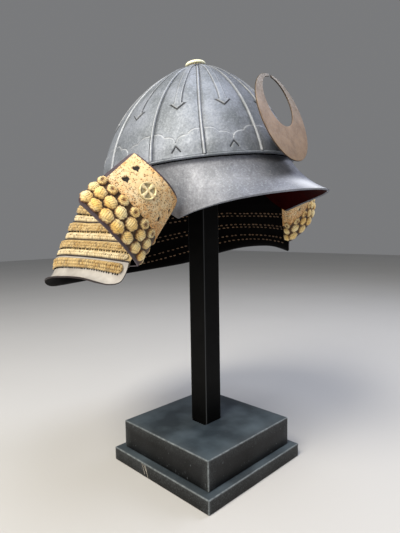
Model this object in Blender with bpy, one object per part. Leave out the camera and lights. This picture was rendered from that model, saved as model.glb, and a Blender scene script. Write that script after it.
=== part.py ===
"""Kabuto: an iron helmet of twelve ribbed plates, set on a plain square display stand.

Metres, +Z up, front towards -Y. The origin is on the table, under the middle of the stand.
The helmet is built level about the middle of its rim, and the empty helmet_seat sets it on the post.
Angles round the helmet start at the front and grow towards the wearer's left, which is +X.
"""

import math

import bmesh
import bpy
from mathutils import Matrix, Vector

GAP = 0.0003

# Stand: two square tiers and a square post.
LOWER_SIDE = 0.160
LOWER_HEIGHT = 0.0157
UPPER_SIDE = 0.1415
UPPER_TOP = 0.0493
POST_SIDE = 0.0254
STAND_EDGE = 0.0009
POST_SHORT_OF_PAD = 0.0028

# Where the helmet sits: a little turned, tipped back, and down on its right.
SEAT_AT = (-0.0043, 0.0033, 0.3488)
SEAT_TURN = 2.6
SEAT_TIP_BACK = 4.5
SEAT_ROLL = 3.1

# Bowl: the outer faces of its plates at the rim, and at the ring round the crown hole.
RIM_HALF_WIDTH = 0.1057
RIM_HALF_LENGTH = 0.1122
BOWL_HEIGHT = 0.1102
CROWN_FORWARD = 0.0140
CROWN_FORWARD_POWER = 2.0
CROWN_SHARE = 0.10
DOME_START = 0.205
DOME_POWER = 1.34
DOME_POWER_FORWARD = 0.12
# Angles of the ribs on one side; the other side mirrors them.
SIDE_RIBS = [15.0, 46.0, 73.5, 104.0, 135.0, 165.0]
PLATE_THICKNESS = 0.0016
PLATE_ROWS = 10
PANEL_COLUMNS = 3
RIB_HALF_WIDTH = 0.0016
RIB_TOP_HALF_WIDTH = 0.0010
RIB_HEIGHT = 0.0020
RIB_TAPER = 0.35

# Lip under the plates, as distances out from their outer face and up from the rim.
LIP_PROFILE = [
    (-0.0036, -GAP),
    (0.0011, -GAP),
    (0.0016, -0.0008),
    (0.0016, -0.0018),
    (0.0011, -0.0023),
    (-0.0036, -0.0023),
]
LIP_STEPS = 48

# Crown fitting, as distances out from its axis and up from the crown.
CROWN_BASE_PROFILE = [
    (0.0072, -0.0018),
    (0.0088, -0.0018),
    (0.0088, 0.0018),
    (0.0134, 0.0018),
    (0.0140, 0.0024),
    (0.0134, 0.0031),
    (0.0072, 0.0031),
]
PETALS = 8
PETAL_RING = (0.0080, 0.0098)
PETAL_RING_Z = (0.0034, 0.0042)
PETAL_TOP = 0.0064
PETAL_HALF_ANGLE = 11.0
CAP_PROFILE = [
    (0.0, 0.0067),
    (0.0108, 0.0067),
    (0.0116, 0.0072),
    (0.0112, 0.0080),
    (0.0082, 0.0097),
    (0.0042, 0.0106),
    (0.0, 0.0108),
]
CROWN_STEPS = 20

# Visor: its top edge tucks in under the lip, and its lower edge is an oval that rises to the front.
VISOR_HALF_ANGLE = 87.0
VISOR_TUCK = 0.0040
VISOR_TOP = -0.0034
VISOR_EDGE_HALF_WIDTH = 0.0976
VISOR_EDGE_REACH = 0.0998
VISOR_EDGE_BACK = -0.0499
VISOR_EDGE_DROP = -0.0641
VISOR_EDGE_RISE = 0.0276
VISOR_EDGE_WAVE = -0.0060
VISOR_WAIST = 0.30
VISOR_WAIST_DROP = 0.62
VISOR_THICKNESS = 0.0016
VISOR_ROWS = 6
VISOR_COLUMNS = 26

# Neck guard: each size is (its value at share 0, what it gains by share 1), where share 0 is high
# and share 1 is the lower edge. Its plan is two half ellipses that meet abreast of the middle.
GUARD_HALF_WIDTH = (0.1249, 0.0389)
GUARD_MIDDLE = (0.0374, 0.0056)
GUARD_BEHIND = (0.1036, 0.0466)
GUARD_AHEAD = (0.2000, -0.0270)
GUARD_HEIGHT = (-0.0437, -0.0771)
GUARD_TILT = (-0.0190, 0.0063)
GUARD_WAVE = (-0.0040, -0.0181)
GUARD_FRONT_ANGLE = (63.3, 5.6)

# Each lame's visible top edge, as a share of the way down; the first hangs from the rim.
LAME_TOPS = [None, -0.11, 0.155, 0.432, 0.682]
GUARD_END = 1.0
LAME_OVERLAP = 0.05
LAME_STEP_OUT = 0.0010
LAME_STEP_IN = 0.0020
LAME_THICKNESS = 0.0014
LAME_COLUMNS = 26
LAME_PARTS = [0.0, 0.5, 1.0]
HANGING_FRONT_ANGLE = 77.0
HANGING_OUT = 0.0010
FIRST_LAME_SHORT = 1.5
HANGING_Z = -0.0029
SKIRT_PARTS = [0.0, 0.20, 0.42, 0.65, 0.80, 0.92, 1.0]
SKIRT_CORNER_START = 0.86
SKIRT_CORNER_ANGLE = 6.0
SKIRT_FLARE = 0.0030
SKIRT_HOLLOW = 0.0040

# Lower edge of the skirt: (angle from the front, height), the same on both sides.
SKIRT_EDGE = [
    (62.0, -0.1160),
    (70.0, -0.1100),
    (80.0, -0.1015),
    (90.0, -0.0992),
    (102.0, -0.1000),
    (115.0, -0.1050),
    (133.0, -0.1145),
    (150.0, -0.1175),
    (180.0, -0.1172),
]

# Lacing bands lie on the lames: (top, bottom) of each as parts of the way down its lame.
LACING_SPANS = [None, (0.085, 0.47), (0.085, 0.47), (0.085, 0.47), (0.070, 0.37)]
LACING_THICKNESS = 0.0016
LACING_LIFT = 0.0006
LACING_SHORT = 1.2

# Turned-back flap on the wearer's left; the right one is its mirror image.
FOLD_TOP = Vector((0.0995, -0.0597, -0.0396))
FOLD_BOTTOM = Vector((0.1344, -0.0343, -0.0960))
FLAP_LOW_CORNER = Vector((0.1943, -0.0402, -0.0350))
FLAP_HIGH_CORNER = Vector((0.1341, -0.0460, 0.0052))
FLAP_BULGE = 0.0144
FLAP_THICKNESS = 0.0016
FLAP_STEPS = [0.05, 0.15, 0.28, 0.42, 0.56, 0.70, 0.85, 1.0]
FLAP_DOWNS = [0.0, 0.03, 0.10, 0.30, 0.50, 0.70, 0.90, 0.97, 1.0]
FLAP_CORNER_DOWN = 0.10
FLAP_CORNER_ACROSS = 0.06
FOLD_RETURN = 0.012
FOLD_RADIUS = 0.003
FOLD_BACKWARD = Vector((0.0, 1.0, 0.0))
LEATHER_ACROSS = (0.03, 0.96)
LEATHER_DOWN = (0.04, 0.52)
LEATHER_RETURN = 0.006
LEATHER_COLUMNS = 7
LEATHER_ROWS = 4
LEATHER_THICKNESS = 0.0012

# Rows of knots: (how far down the flap, how many, half the length of a knot).
KNOT_ROWS = [(0.607, 6, 0.0040), (0.740, 7, 0.0048), (0.900, 7, 0.0056)]
KNOT_ACROSS = (0.03, 0.965)
KNOT_HEIGHT = 0.0052
KNOT_NECK = 0.45
KNOT_SECTIONS = 4
KNOT_SIDES = 5
BOSS_AT = (0.571, 0.298)
BOSS_LIFT = 0.0008
BOSS_PROFILE = [
    (0.0, 0.0),
    (0.0080, 0.0),
    (0.0084, 0.0008),
    (0.0080, 0.0022),
    (0.0066, 0.0027),
    (0.0060, 0.0020),
    (0.0, 0.0022),
]
BOSS_STEPS = 20

# Crest: a crescent between two circles, leaning back in front of the bowl.
CREST_AT = Vector((0.0, -0.1192, 0.0315))
CREST_LEAN = 13.2
CREST_TURN = 4.0
CREST_RADIUS = 0.0458
CREST_HOLE_RADIUS = 0.0263
CREST_HOLE_UP = 0.0168
CREST_THICKNESS = 0.0015
HORN_GAP_ANGLE = 3.4
CREST_STEPS = 40
HOLDER_HALF_WIDTH = 0.0060
HOLDER_SPAN = (0.0040, 0.0150)

# Pad under the crown, cut to the inside of the bowl.
PAD_START = 0.74
PAD_ROWS = 5
PAD_STEPS = 24
PAD_INSET = 0.0024


def material(name, colour, roughness, metallic=0.0):
    made = bpy.data.materials.new(name)
    made.use_nodes = True
    shader = made.node_tree.nodes["Principled BSDF"]
    shader.inputs["Base Color"].default_value = (*colour, 1.0)
    shader.inputs["Roughness"].default_value = roughness
    shader.inputs["Metallic"].default_value = metallic
    made.diffuse_color = (*colour, 1.0)
    return made


def place(name, bm, finish, parent=None, smooth_angle=35.0):
    """Turns a bmesh into a named object with its faces pointing out."""
    bmesh.ops.recalc_face_normals(bm, faces=bm.faces)
    mesh = bpy.data.meshes.new(name)
    bm.to_mesh(mesh)
    bm.free()
    mesh.materials.append(finish)
    mesh.shade_smooth()
    mesh.set_sharp_from_angle(angle=math.radians(smooth_angle))
    made = bpy.data.objects.new(name, mesh)
    bpy.context.scene.collection.objects.link(made)
    made.parent = parent
    return made


def slab(name, outer, inner, finish, parent):
    """One closed body between two grids of points that match row for row."""
    bm = bmesh.new()
    front, back = ([[bm.verts.new(point) for point in row] for row in grid] for grid in (outer, inner))
    last_row = len(front) - 1
    last_column = len(front[0]) - 1
    for skin in (front, back):
        for row in range(last_row):
            for column in range(last_column):
                bm.faces.new((skin[row][column], skin[row + 1][column],
                              skin[row + 1][column + 1], skin[row][column + 1]))
    for row in (0, last_row):
        for column in range(last_column):
            bm.faces.new((front[row][column], front[row][column + 1],
                          back[row][column + 1], back[row][column]))
    for column in (0, last_column):
        for row in range(last_row):
            bm.faces.new((front[row][column], front[row + 1][column],
                          back[row + 1][column], back[row][column]))
    return place(name, bm, finish, parent)


def normals(rows):
    """The outward normal at each point of a grid whose rows run down and whose columns run leftwards."""
    found = []
    for row in range(len(rows)):
        above = rows[max(row - 1, 0)]
        below = rows[min(row + 1, len(rows) - 1)]
        line = []
        for column in range(len(rows[row])):
            before = max(column - 1, 0)
            after = min(column + 1, len(rows[row]) - 1)
            down = below[column] - above[column]
            along = rows[row][after] - rows[row][before]
            line.append(down.cross(along).normalized())
        found.append(line)
    return found


def offset(rows, distance):
    return [[point + normal * distance for point, normal in zip(line, outwards)]
            for line, outwards in zip(rows, normals(rows))]


def turned(bm, profile, steps, at, up, aside):
    """Adds a body turned from (radius, height) pairs; a radius of 0 closes on the axis."""
    forward = up.cross(aside)
    rings = []
    for radius, height in profile:
        if radius == 0.0:
            rings.append([bm.verts.new(at + up * height)] * steps)
            continue
        ring = []
        for step in range(steps):
            angle = 2 * math.pi * step / steps
            spoke = aside * math.cos(angle) + forward * math.sin(angle)
            ring.append(bm.verts.new(at + up * height + spoke * radius))
        rings.append(ring)
    closed = profile[0][0] != 0.0
    pairs = list(zip(rings, rings[1:] + rings[:1])) if closed else list(zip(rings, rings[1:]))
    for first, second in pairs:
        for step in range(steps):
            after = (step + 1) % steps
            corners = []
            for corner in (first[step], first[after], second[after], second[step]):
                if corner not in corners:
                    corners.append(corner)
            bm.faces.new(corners)


def box(name, low, high, finish):
    bm = bmesh.new()
    bmesh.ops.create_cube(bm, size=1.0)
    for vertex in bm.verts:
        vertex.co = [low[i] if vertex.co[i] < 0 else high[i] for i in range(3)]
    bmesh.ops.bevel(bm, geom=bm.edges[:], offset=STAND_EDGE, segments=2, affect="EDGES", profile=0.5)
    return place(name, bm, finish)


def bowl_point(share, angle):
    """A point of the bowl's outer face: share 0 is the rim and 1 the crown ring; angle in radians."""
    lift = DOME_START + share * (math.pi / 2 - DOME_START)
    power = DOME_POWER + DOME_POWER_FORWARD * math.cos(angle)
    narrowed = (max(math.cos(lift), 0.0) / math.cos(DOME_START)) ** power
    reach = CROWN_SHARE + (1 - CROWN_SHARE) * narrowed
    height = (math.sin(lift) - math.sin(DOME_START)) / (1 - math.sin(DOME_START))
    return Vector((
        RIM_HALF_WIDTH * reach * math.sin(angle),
        -RIM_HALF_LENGTH * reach * math.cos(angle) - CROWN_FORWARD * height ** CROWN_FORWARD_POWER,
        BOWL_HEIGHT * height,
    ))


def angle_for(distance, share, angle):
    """The angle that a distance along the bowl takes up at this share of its height."""
    step = 0.01
    return step * distance / (bowl_point(share, angle + step) - bowl_point(share, angle)).length


def bowl_plate(number, finish, parent):
    """One plate: a rib standing along its front edge, then its panel up to the next rib."""
    ribs = SIDE_RIBS + [360 - angle for angle in reversed(SIDE_RIBS)] + [360 + SIDE_RIBS[0]]
    start = math.radians(ribs[number])
    end = math.radians(ribs[number + 1])
    rows = []
    lifts = []
    for row in range(PLATE_ROWS + 1):
        share = 1 - row / PLATE_ROWS
        taper = 1 - RIB_TAPER * share
        unit = angle_for(1.0, share, start)
        rib = [-RIB_HALF_WIDTH, -RIB_TOP_HALF_WIDTH, RIB_TOP_HALF_WIDTH, RIB_HALF_WIDTH]
        angles = [start + across * taper * unit for across in rib]
        last = end - (RIB_HALF_WIDTH * taper + GAP) * angle_for(1.0, share, end)
        panel = last - angles[3]
        angles += [angles[3] + panel * (step + 1) / PANEL_COLUMNS for step in range(PANEL_COLUMNS)]
        rows.append([bowl_point(share, angle) for angle in angles])
        height = RIB_HEIGHT * taper
        lifts.append([0.0, height, height] + [0.0] * (PANEL_COLUMNS + 1))
    outwards = normals(rows)
    outer = [[point + normal * lift for point, normal, lift in zip(*lines)]
             for lines in zip(rows, outwards, lifts)]
    inner = offset(rows, -PLATE_THICKNESS)
    for point in outer[-1] + inner[-1]:
        point.z = 0.0
    slab(f"bowl_plate_{number + 1:02d}", outer, inner, finish, parent)


def rim_lip(finish, parent):
    bm = bmesh.new()
    rings = []
    for out, up in LIP_PROFILE:
        ring = []
        for step in range(LIP_STEPS):
            angle = 2 * math.pi * step / LIP_STEPS
            ring.append(bm.verts.new((
                (RIM_HALF_WIDTH + out) * math.sin(angle),
                -(RIM_HALF_LENGTH + out) * math.cos(angle),
                up,
            )))
        rings.append(ring)
    for first, second in zip(rings, rings[1:] + rings[:1]):
        for step in range(LIP_STEPS):
            after = (step + 1) % LIP_STEPS
            bm.faces.new((first[step], first[after], second[after], second[step]))
    place("rim_lip", bm, finish, parent)


def crown_fitting(brass, cap_finish, parent):
    """The collared ring over the crown hole, its ring of petals, and the domed cap on them."""
    at = Vector((0.0, -CROWN_FORWARD, BOWL_HEIGHT))
    up = Vector((0, 0, 1))
    aside = Vector((1, 0, 0))
    bm = bmesh.new()
    turned(bm, CROWN_BASE_PROFILE, CROWN_STEPS, at, up, aside)
    place("crown_base", bm, brass, parent)
    bm = bmesh.new()
    petal_ring(bm, at)
    place("crown_petals", bm, brass, parent)
    bm = bmesh.new()
    turned(bm, CAP_PROFILE, CROWN_STEPS, at, up, aside)
    place("crown_cap", bm, cap_finish, parent)


def petal_ring(bm, at):
    """A thin flat ring with a short upright petal in each of its equal parts."""
    inner, outer = PETAL_RING
    low, high = PETAL_RING_Z
    half = math.radians(PETAL_HALF_ANGLE)
    angles = []
    for petal in range(PETALS):
        middle = 2 * math.pi * petal / PETALS
        angles += [middle - half, middle + half]
    section = [(inner, low), (outer, low), (outer, high), (inner, high)]
    rings = []
    tops = []
    for angle in angles:
        spoke = Vector((math.sin(angle), -math.cos(angle), 0))
        rings.append([bm.verts.new(at + spoke * radius + Vector((0, 0, height))) for radius, height in section])
        top = at + Vector((0, 0, PETAL_TOP))
        tops.append([bm.verts.new(top + spoke * radius) for radius in (outer, inner)])
    count = len(angles)
    for index in range(count):
        after = (index + 1) % count
        here, there = rings[index], rings[after]
        for side in range(3):
            if side == 2 and index % 2 == 0:
                continue
            bm.faces.new((here[side], there[side], there[side + 1], here[side + 1]))
        bm.faces.new((here[3], there[3], there[0], here[0]))
        if index % 2 == 0:
            bm.faces.new((here[2], there[2], tops[after][0], tops[index][0]))
            bm.faces.new((here[3], there[3], tops[after][1], tops[index][1]))
            bm.faces.new((tops[index][0], tops[after][0], tops[after][1], tops[index][1]))
            bm.faces.new((here[2], here[3], tops[index][1], tops[index][0]))
            bm.faces.new((there[2], there[3], tops[after][1], tops[after][0]))


def visor(finish, parent):
    """A flared sheet from under the lip to a lower edge that rises towards the front."""
    rows = []
    for row in range(VISOR_ROWS + 1):
        share = row / VISOR_ROWS
        line = []
        for column in range(VISOR_COLUMNS + 1):
            angle = math.radians(VISOR_HALF_ANGLE * (2 * column / VISOR_COLUMNS - 1))
            top = Vector((
                (RIM_HALF_WIDTH - VISOR_TUCK) * math.sin(angle),
                -(RIM_HALF_LENGTH - VISOR_TUCK) * math.cos(angle),
                VISOR_TOP,
            ))
            edge = Vector((
                VISOR_EDGE_HALF_WIDTH * math.sin(angle),
                VISOR_EDGE_BACK - VISOR_EDGE_REACH * math.cos(angle),
                VISOR_EDGE_DROP + VISOR_EDGE_RISE * math.cos(angle) + VISOR_EDGE_WAVE * math.cos(2 * angle),
            ))
            waist = top.lerp(edge, VISOR_WAIST)
            waist.z = top.z + (edge.z - top.z) * VISOR_WAIST_DROP
            line.append(top.lerp(waist, share).lerp(waist.lerp(edge, share), share))
        rows.append(line)
    slab("visor", rows, offset(rows, -VISOR_THICKNESS), finish, parent)


def at_share(size, share):
    return size[0] + size[1] * share


def through(table, place):
    """The value at a place on the smooth curve through a table of (place, value) rows."""
    last = len(table) - 2
    row = max(min(sum(1 for there, _ in table if there <= place) - 1, last), 0)
    slopes = []
    for at in (row, row + 1):
        before, after = table[max(at - 1, 0)], table[min(at + 1, last + 1)]
        slopes.append((after[1] - before[1]) / (after[0] - before[0]))
    (start, low), (end, high) = table[row], table[row + 1]
    width = end - start
    part = min(max((place - start) / width, 0.0), 1.0)
    rise = part * part * (3 - 2 * part)
    return (low + (high - low) * rise + width * part * (1 - part) ** 2 * slopes[0]
            - width * part * part * (1 - part) * slopes[1])


def guard_point(share, angle, out):
    """A point of the neck guard: share 0 is high and 1 its lower edge; out is a distance outwards."""
    ahead = math.cos(angle) > 0
    half_length = at_share(GUARD_AHEAD if ahead else GUARD_BEHIND, share) + out
    height = at_share(GUARD_HEIGHT, share)
    height += at_share(GUARD_TILT, share) * math.cos(angle) + at_share(GUARD_WAVE, share) * math.cos(2 * angle)
    if share > LAME_TOPS[-1]:
        from_front = abs((math.degrees(angle) + 180) % 360 - 180)
        part = (share - LAME_TOPS[-1]) / (GUARD_END - LAME_TOPS[-1])
        height += (through(SKIRT_EDGE, from_front) - height) * part
    return Vector((
        (at_share(GUARD_HALF_WIDTH, share) + out) * math.sin(angle),
        at_share(GUARD_MIDDLE, share) - half_length * math.cos(angle),
        height,
    ))


def guard_end_angle(share):
    """The angle at which the lames end in front; the skirt's lower corners are rounded off."""
    past = max(share - SKIRT_CORNER_START, 0) / (GUARD_END - SKIRT_CORNER_START)
    rounded = SKIRT_CORNER_ANGLE * (1 - math.sqrt(max(1 - past * past, 0)))
    return at_share(GUARD_FRONT_ANGLE, share) + rounded


def round_the_back(start, point_at):
    """A line of points from the wearer's left to right, past the back, starting at this angle in front."""
    start = math.radians(start)
    steps = [step / LAME_COLUMNS for step in range(LAME_COLUMNS + 1)]
    return [point_at(start + (2 * math.pi - 2 * start) * step) for step in steps]


def guard_line(share, out, short=0.0):
    """A line round the neck guard at this share of the way down."""
    return round_the_back(guard_end_angle(share) + short, lambda angle: guard_point(share, angle, out))


def hanging_line():
    """The top edge of the first lame, which follows the rim just under its lip."""
    return round_the_back(HANGING_FRONT_ANGLE, lambda angle: Vector((
        (RIM_HALF_WIDTH + HANGING_OUT) * math.sin(angle),
        -(RIM_HALF_LENGTH + HANGING_OUT) * math.cos(angle),
        HANGING_Z,
    )))


def lame_out(number, part):
    """How far a lame stands out of the guard's even slope at this part of the way down it."""
    if number == len(LAME_TOPS) - 1:
        return LAME_STEP_OUT * (1 - part) ** 2 + SKIRT_FLARE * part ** 3 - SKIRT_HOLLOW * part * (1 - part)
    return LAME_STEP_OUT - (LAME_STEP_IN + LAME_STEP_OUT) * part


def lame_depth(number):
    """How much of the guard's height a lame takes, with the stretch hidden under the next one."""
    if number == len(LAME_TOPS) - 1:
        return GUARD_END - LAME_TOPS[number]
    return LAME_TOPS[number + 1] + LAME_OVERLAP - LAME_TOPS[number]


def lame_rows(number):
    """The outer face of one lame, from its top edge down."""
    if number == 0:
        top = hanging_line()
        bottom = guard_line(LAME_TOPS[1] + LAME_OVERLAP, -LAME_STEP_IN, FIRST_LAME_SHORT)
        return [[high.lerp(low, part) for high, low in zip(top, bottom)] for part in LAME_PARTS]
    parts = SKIRT_PARTS if number == len(LAME_TOPS) - 1 else LAME_PARTS
    return [guard_line(LAME_TOPS[number] + lame_depth(number) * part, lame_out(number, part)) for part in parts]


def neck_guard(finish, skirt_finish, lacing_finish, parent):
    for number in range(len(LAME_TOPS)):
        rows = lame_rows(number)
        coat = skirt_finish if number == len(LAME_TOPS) - 1 else finish
        slab(f"neck_lame_{number + 1}", rows, offset(rows, -LAME_THICKNESS), coat, parent)
        if number:
            lacing_band(number, lacing_finish, parent)


def lacing_band(number, finish, parent):
    """The band of laced cord that lies on a lame just below its top edge."""
    top, bottom = LACING_SPANS[number]
    rows = []
    for part in (top, (top + bottom) / 2, bottom):
        share = LAME_TOPS[number] + lame_depth(number) * part
        rows.append(guard_line(share, lame_out(number, part), LACING_SHORT))
    lifted = offset(rows, LACING_LIFT)
    slab(f"lacing_band_{number + 1}", offset(lifted, LACING_THICKNESS), lifted, finish, parent)


def flap_point(across, down):
    """A point of the left flap's front face: across runs from the fold to the free end."""
    fold = FOLD_TOP.lerp(FOLD_BOTTOM, down)
    end = FLAP_HIGH_CORNER.lerp(FLAP_LOW_CORNER, down)
    facing = (FLAP_LOW_CORNER - FOLD_BOTTOM).cross(FOLD_TOP - FOLD_BOTTOM).normalized()
    if facing.y > 0:
        facing = -facing
    return fold.lerp(end, across) + facing * 4 * FLAP_BULGE * across * (1 - across)


def flap_row(down, acrosses, backs):
    """Points across the flap, after those that lie on its return this far behind the fold."""
    fold = FOLD_TOP.lerp(FOLD_BOTTOM, down)
    return [fold + FOLD_BACKWARD * back for back in backs] + [flap_point(across, down) for across in acrosses]


def flap_end(down):
    """How far across the plate reaches: it is rounded off at the two corners of its free end."""
    past = max(FLAP_CORNER_DOWN - down, down - 1 + FLAP_CORNER_DOWN, 0) / FLAP_CORNER_DOWN
    return 1 - FLAP_CORNER_ACROSS * (1 - math.sqrt(1 - past * past))


def mirrored(rows, side):
    return [[Vector((point.x * side, point.y, point.z)) for point in row] for row in rows]


def spread(span, steps):
    return [span[0] + (span[1] - span[0]) * step / steps for step in range(steps + 1)]


def flap(word, side, iron, leather, cord, brass, parent):
    """A turned-back flap: its plate with the return inside the lames, leather, laced knots and a boss."""
    rows = []
    for down in FLAP_DOWNS:
        acrosses = [step * flap_end(down) for step in FLAP_STEPS]
        rows.append(flap_row(down, acrosses, (FOLD_RETURN, FOLD_RADIUS)))
    front, back = mirrored(rows, side), mirrored(offset(rows, -FLAP_THICKNESS), side)
    slab(f"flap_plate_{word}", front, back, iron, parent)
    cover = [flap_row(down, spread(LEATHER_ACROSS, LEATHER_COLUMNS), (LEATHER_RETURN, FOLD_RADIUS))
             for down in spread(LEATHER_DOWN, LEATHER_ROWS)]
    low, high = offset(cover, GAP), offset(cover, GAP + LEATHER_THICKNESS)
    slab(f"flap_leather_{word}", mirrored(high, side), mirrored(low, side), leather, parent)
    for number, (down, count, half_length) in enumerate(KNOT_ROWS):
        knot_row(f"knot_row_{word}_{number + 1}", side, down, count, half_length, cord, parent)
    boss(word, side, brass, parent)


def flap_frame(across, down):
    """The point, the way out of the face, the way across and the way down at a place on the left flap."""
    step = 0.01
    here = flap_point(across, down)
    along = (flap_point(across + step, down) - here).normalized()
    below = (flap_point(across, down + step) - here).normalized()
    out = below.cross(along).normalized()
    return here, out, along, below


def knot_row(name, side, down, count, half_length, finish, parent):
    """A row of laced knots as one half-round bar, swollen at each knot and pinched between them."""
    bm = bmesh.new()
    rings = []
    sections = count * KNOT_SECTIONS
    for section in range(sections + 1):
        place_in_row = section / sections
        across = KNOT_ACROSS[0] + (KNOT_ACROSS[1] - KNOT_ACROSS[0]) * place_in_row
        swell = KNOT_NECK + (1 - KNOT_NECK) * math.sqrt(abs(math.sin(math.pi * section / KNOT_SECTIONS)))
        here, out, _, below = flap_frame(across, down)
        ring = []
        for corner in range(KNOT_SIDES + 1):
            turn = math.pi * corner / KNOT_SIDES
            aside = half_length * swell * math.cos(turn)
            height = GAP + KNOT_HEIGHT * swell * math.sin(turn)
            point = here + below * aside + out * height
            ring.append(bm.verts.new((point.x * side, point.y, point.z)))
        rings.append(ring)
    for first, second in zip(rings, rings[1:]):
        for corner in range(KNOT_SIDES + 1):
            after = (corner + 1) % (KNOT_SIDES + 1)
            bm.faces.new((first[corner], first[after], second[after], second[corner]))
    bm.faces.new(rings[0])
    bm.faces.new(rings[-1])
    place(name, bm, finish, parent)


def boss(word, side, finish, parent):
    here, out, along, _ = flap_frame(*BOSS_AT)
    at = here + out * (GAP + LEATHER_THICKNESS + BOSS_LIFT)
    flip = Vector((side, 1, 1))
    bm = bmesh.new()
    turned(bm, BOSS_PROFILE, BOSS_STEPS, at * flip, out * flip, along * flip)
    place(f"flap_boss_{word}", bm, finish, parent)


def crest_frame():
    """The crest's middle and its own directions: aside, up in its plane, and back through it."""
    turn = Matrix.Rotation(math.radians(CREST_TURN), 3, "Z")
    turn @= Matrix.Rotation(-math.radians(CREST_LEAN), 3, "X")
    return CREST_AT, turn @ Vector((1, 0, 0)), turn @ Vector((0, 0, 1)), turn @ Vector((0, 1, 0))


def crest(finish, parent):
    """A flat crescent whose horns almost meet at the top."""
    at, aside, up, back = crest_frame()
    gap = math.radians(HORN_GAP_ANGLE)
    bm = bmesh.new()
    edges = []
    for radius, middle, opening in (
        (CREST_RADIUS, 0.0, gap),
        (CREST_HOLE_RADIUS, CREST_HOLE_UP, gap * CREST_RADIUS / CREST_HOLE_RADIUS),
    ):
        arc = []
        for step in range(CREST_STEPS + 1):
            turn = opening + (2 * math.pi - 2 * opening) * step / CREST_STEPS
            spot = at + aside * radius * math.sin(turn) + up * (middle + radius * math.cos(turn))
            arc.append((bm.verts.new(spot), bm.verts.new(spot + back * CREST_THICKNESS)))
        edges.append(arc)
    outer, inner = edges
    for index in range(CREST_STEPS):
        after = index + 1
        for face in (0, 1):
            bm.faces.new((outer[index][face], outer[after][face], inner[after][face], inner[index][face]))
        for arc in edges:
            bm.faces.new((arc[index][0], arc[after][0], arc[after][1], arc[index][1]))
    for index in (0, CREST_STEPS):
        bm.faces.new((outer[index][0], outer[index][1], inner[index][1], inner[index][0]))
    place("crest", bm, finish, parent)


def crest_holder(finish, parent):
    """The short block that holds the crest off the front of the bowl."""
    at, aside, up, back = crest_frame()
    bm = bmesh.new()
    middle_line = [bowl_point(step / 100, 0.0) for step in range(50)]
    levels = []
    for height in HOLDER_SPAN:
        along = (height - at.z) / up.z
        front = at + up * along + back * (CREST_THICKNESS + GAP)
        nearest = min(middle_line, key=lambda spot: abs(spot.z - height))
        corners = []
        for x in (-HOLDER_HALF_WIDTH, HOLDER_HALF_WIDTH):
            touching = front + aside * x
            corners.append([bm.verts.new((touching.x, touching.y, height)),
                            bm.verts.new((touching.x, nearest.y - 2 * GAP, height))])
        levels.append(corners)
    low, high = levels
    loops = [
        (low[0][0], low[1][0], low[1][1], low[0][1]),
        (high[0][0], high[1][0], high[1][1], high[0][1]),
        (low[0][0], low[1][0], high[1][0], high[0][0]),
        (low[0][1], low[1][1], high[1][1], high[0][1]),
        (low[0][0], low[0][1], high[0][1], high[0][0]),
        (low[1][0], low[1][1], high[1][1], high[1][0]),
    ]
    for loop in loops:
        bm.faces.new(loop)
    place("crest_holder", bm, finish, parent)


def pad_rows():
    rows = []
    for row in range(PAD_ROWS + 1):
        share = 1 - (1 - PAD_START) * row / PAD_ROWS
        rows.append([bowl_point(share, 2 * math.pi * step / PAD_STEPS) for step in range(PAD_STEPS + 1)])
    return offset(rows, -PAD_INSET)


def stand_pad(finish, parent):
    """The pad on top of the post: its top fits the inside of the crown and its underside is flat."""
    rows = pad_rows()
    floor = min(point.z for point in rows[-1])
    bm = bmesh.new()
    rings = [[bm.verts.new(point) for point in row[:-1]] for row in rows]
    for vertex in rings[-1]:
        vertex.co.z = floor
    for upper, lower in zip(rings, rings[1:]):
        for step in range(PAD_STEPS):
            after = (step + 1) % PAD_STEPS
            bm.faces.new((upper[step], lower[step], lower[after], upper[after]))
    bm.faces.new(rings[0])
    bm.faces.new(rings[-1])
    place("stand_pad", bm, finish, parent)
    return floor


def stand(finish, post_finish, pad_underside):
    """Two square tiers, and the post up to just short of the pad's underside."""
    half = LOWER_SIDE / 2
    box("stand_base_lower", (-half, -half, 0), (half, half, LOWER_HEIGHT), finish)
    half = UPPER_SIDE / 2
    box("stand_base_upper", (-half, -half, LOWER_HEIGHT + GAP), (half, half, UPPER_TOP), finish)
    half = POST_SIDE / 2
    top = pad_underside - POST_SHORT_OF_PAD
    box("stand_post", (-half, -half, UPPER_TOP + GAP), (half, half, top), post_finish)


def helmet_seat():
    """The empty that everything of the helmet is parented to."""
    seat = bpy.data.objects.new("helmet_seat", None)
    bpy.context.scene.collection.objects.link(seat)
    seat.location = SEAT_AT
    seat.rotation_mode = "YXZ"
    seat.rotation_euler = (-math.radians(SEAT_TIP_BACK), -math.radians(SEAT_ROLL), math.radians(SEAT_TURN))
    bpy.context.view_layer.update()
    return seat


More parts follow.
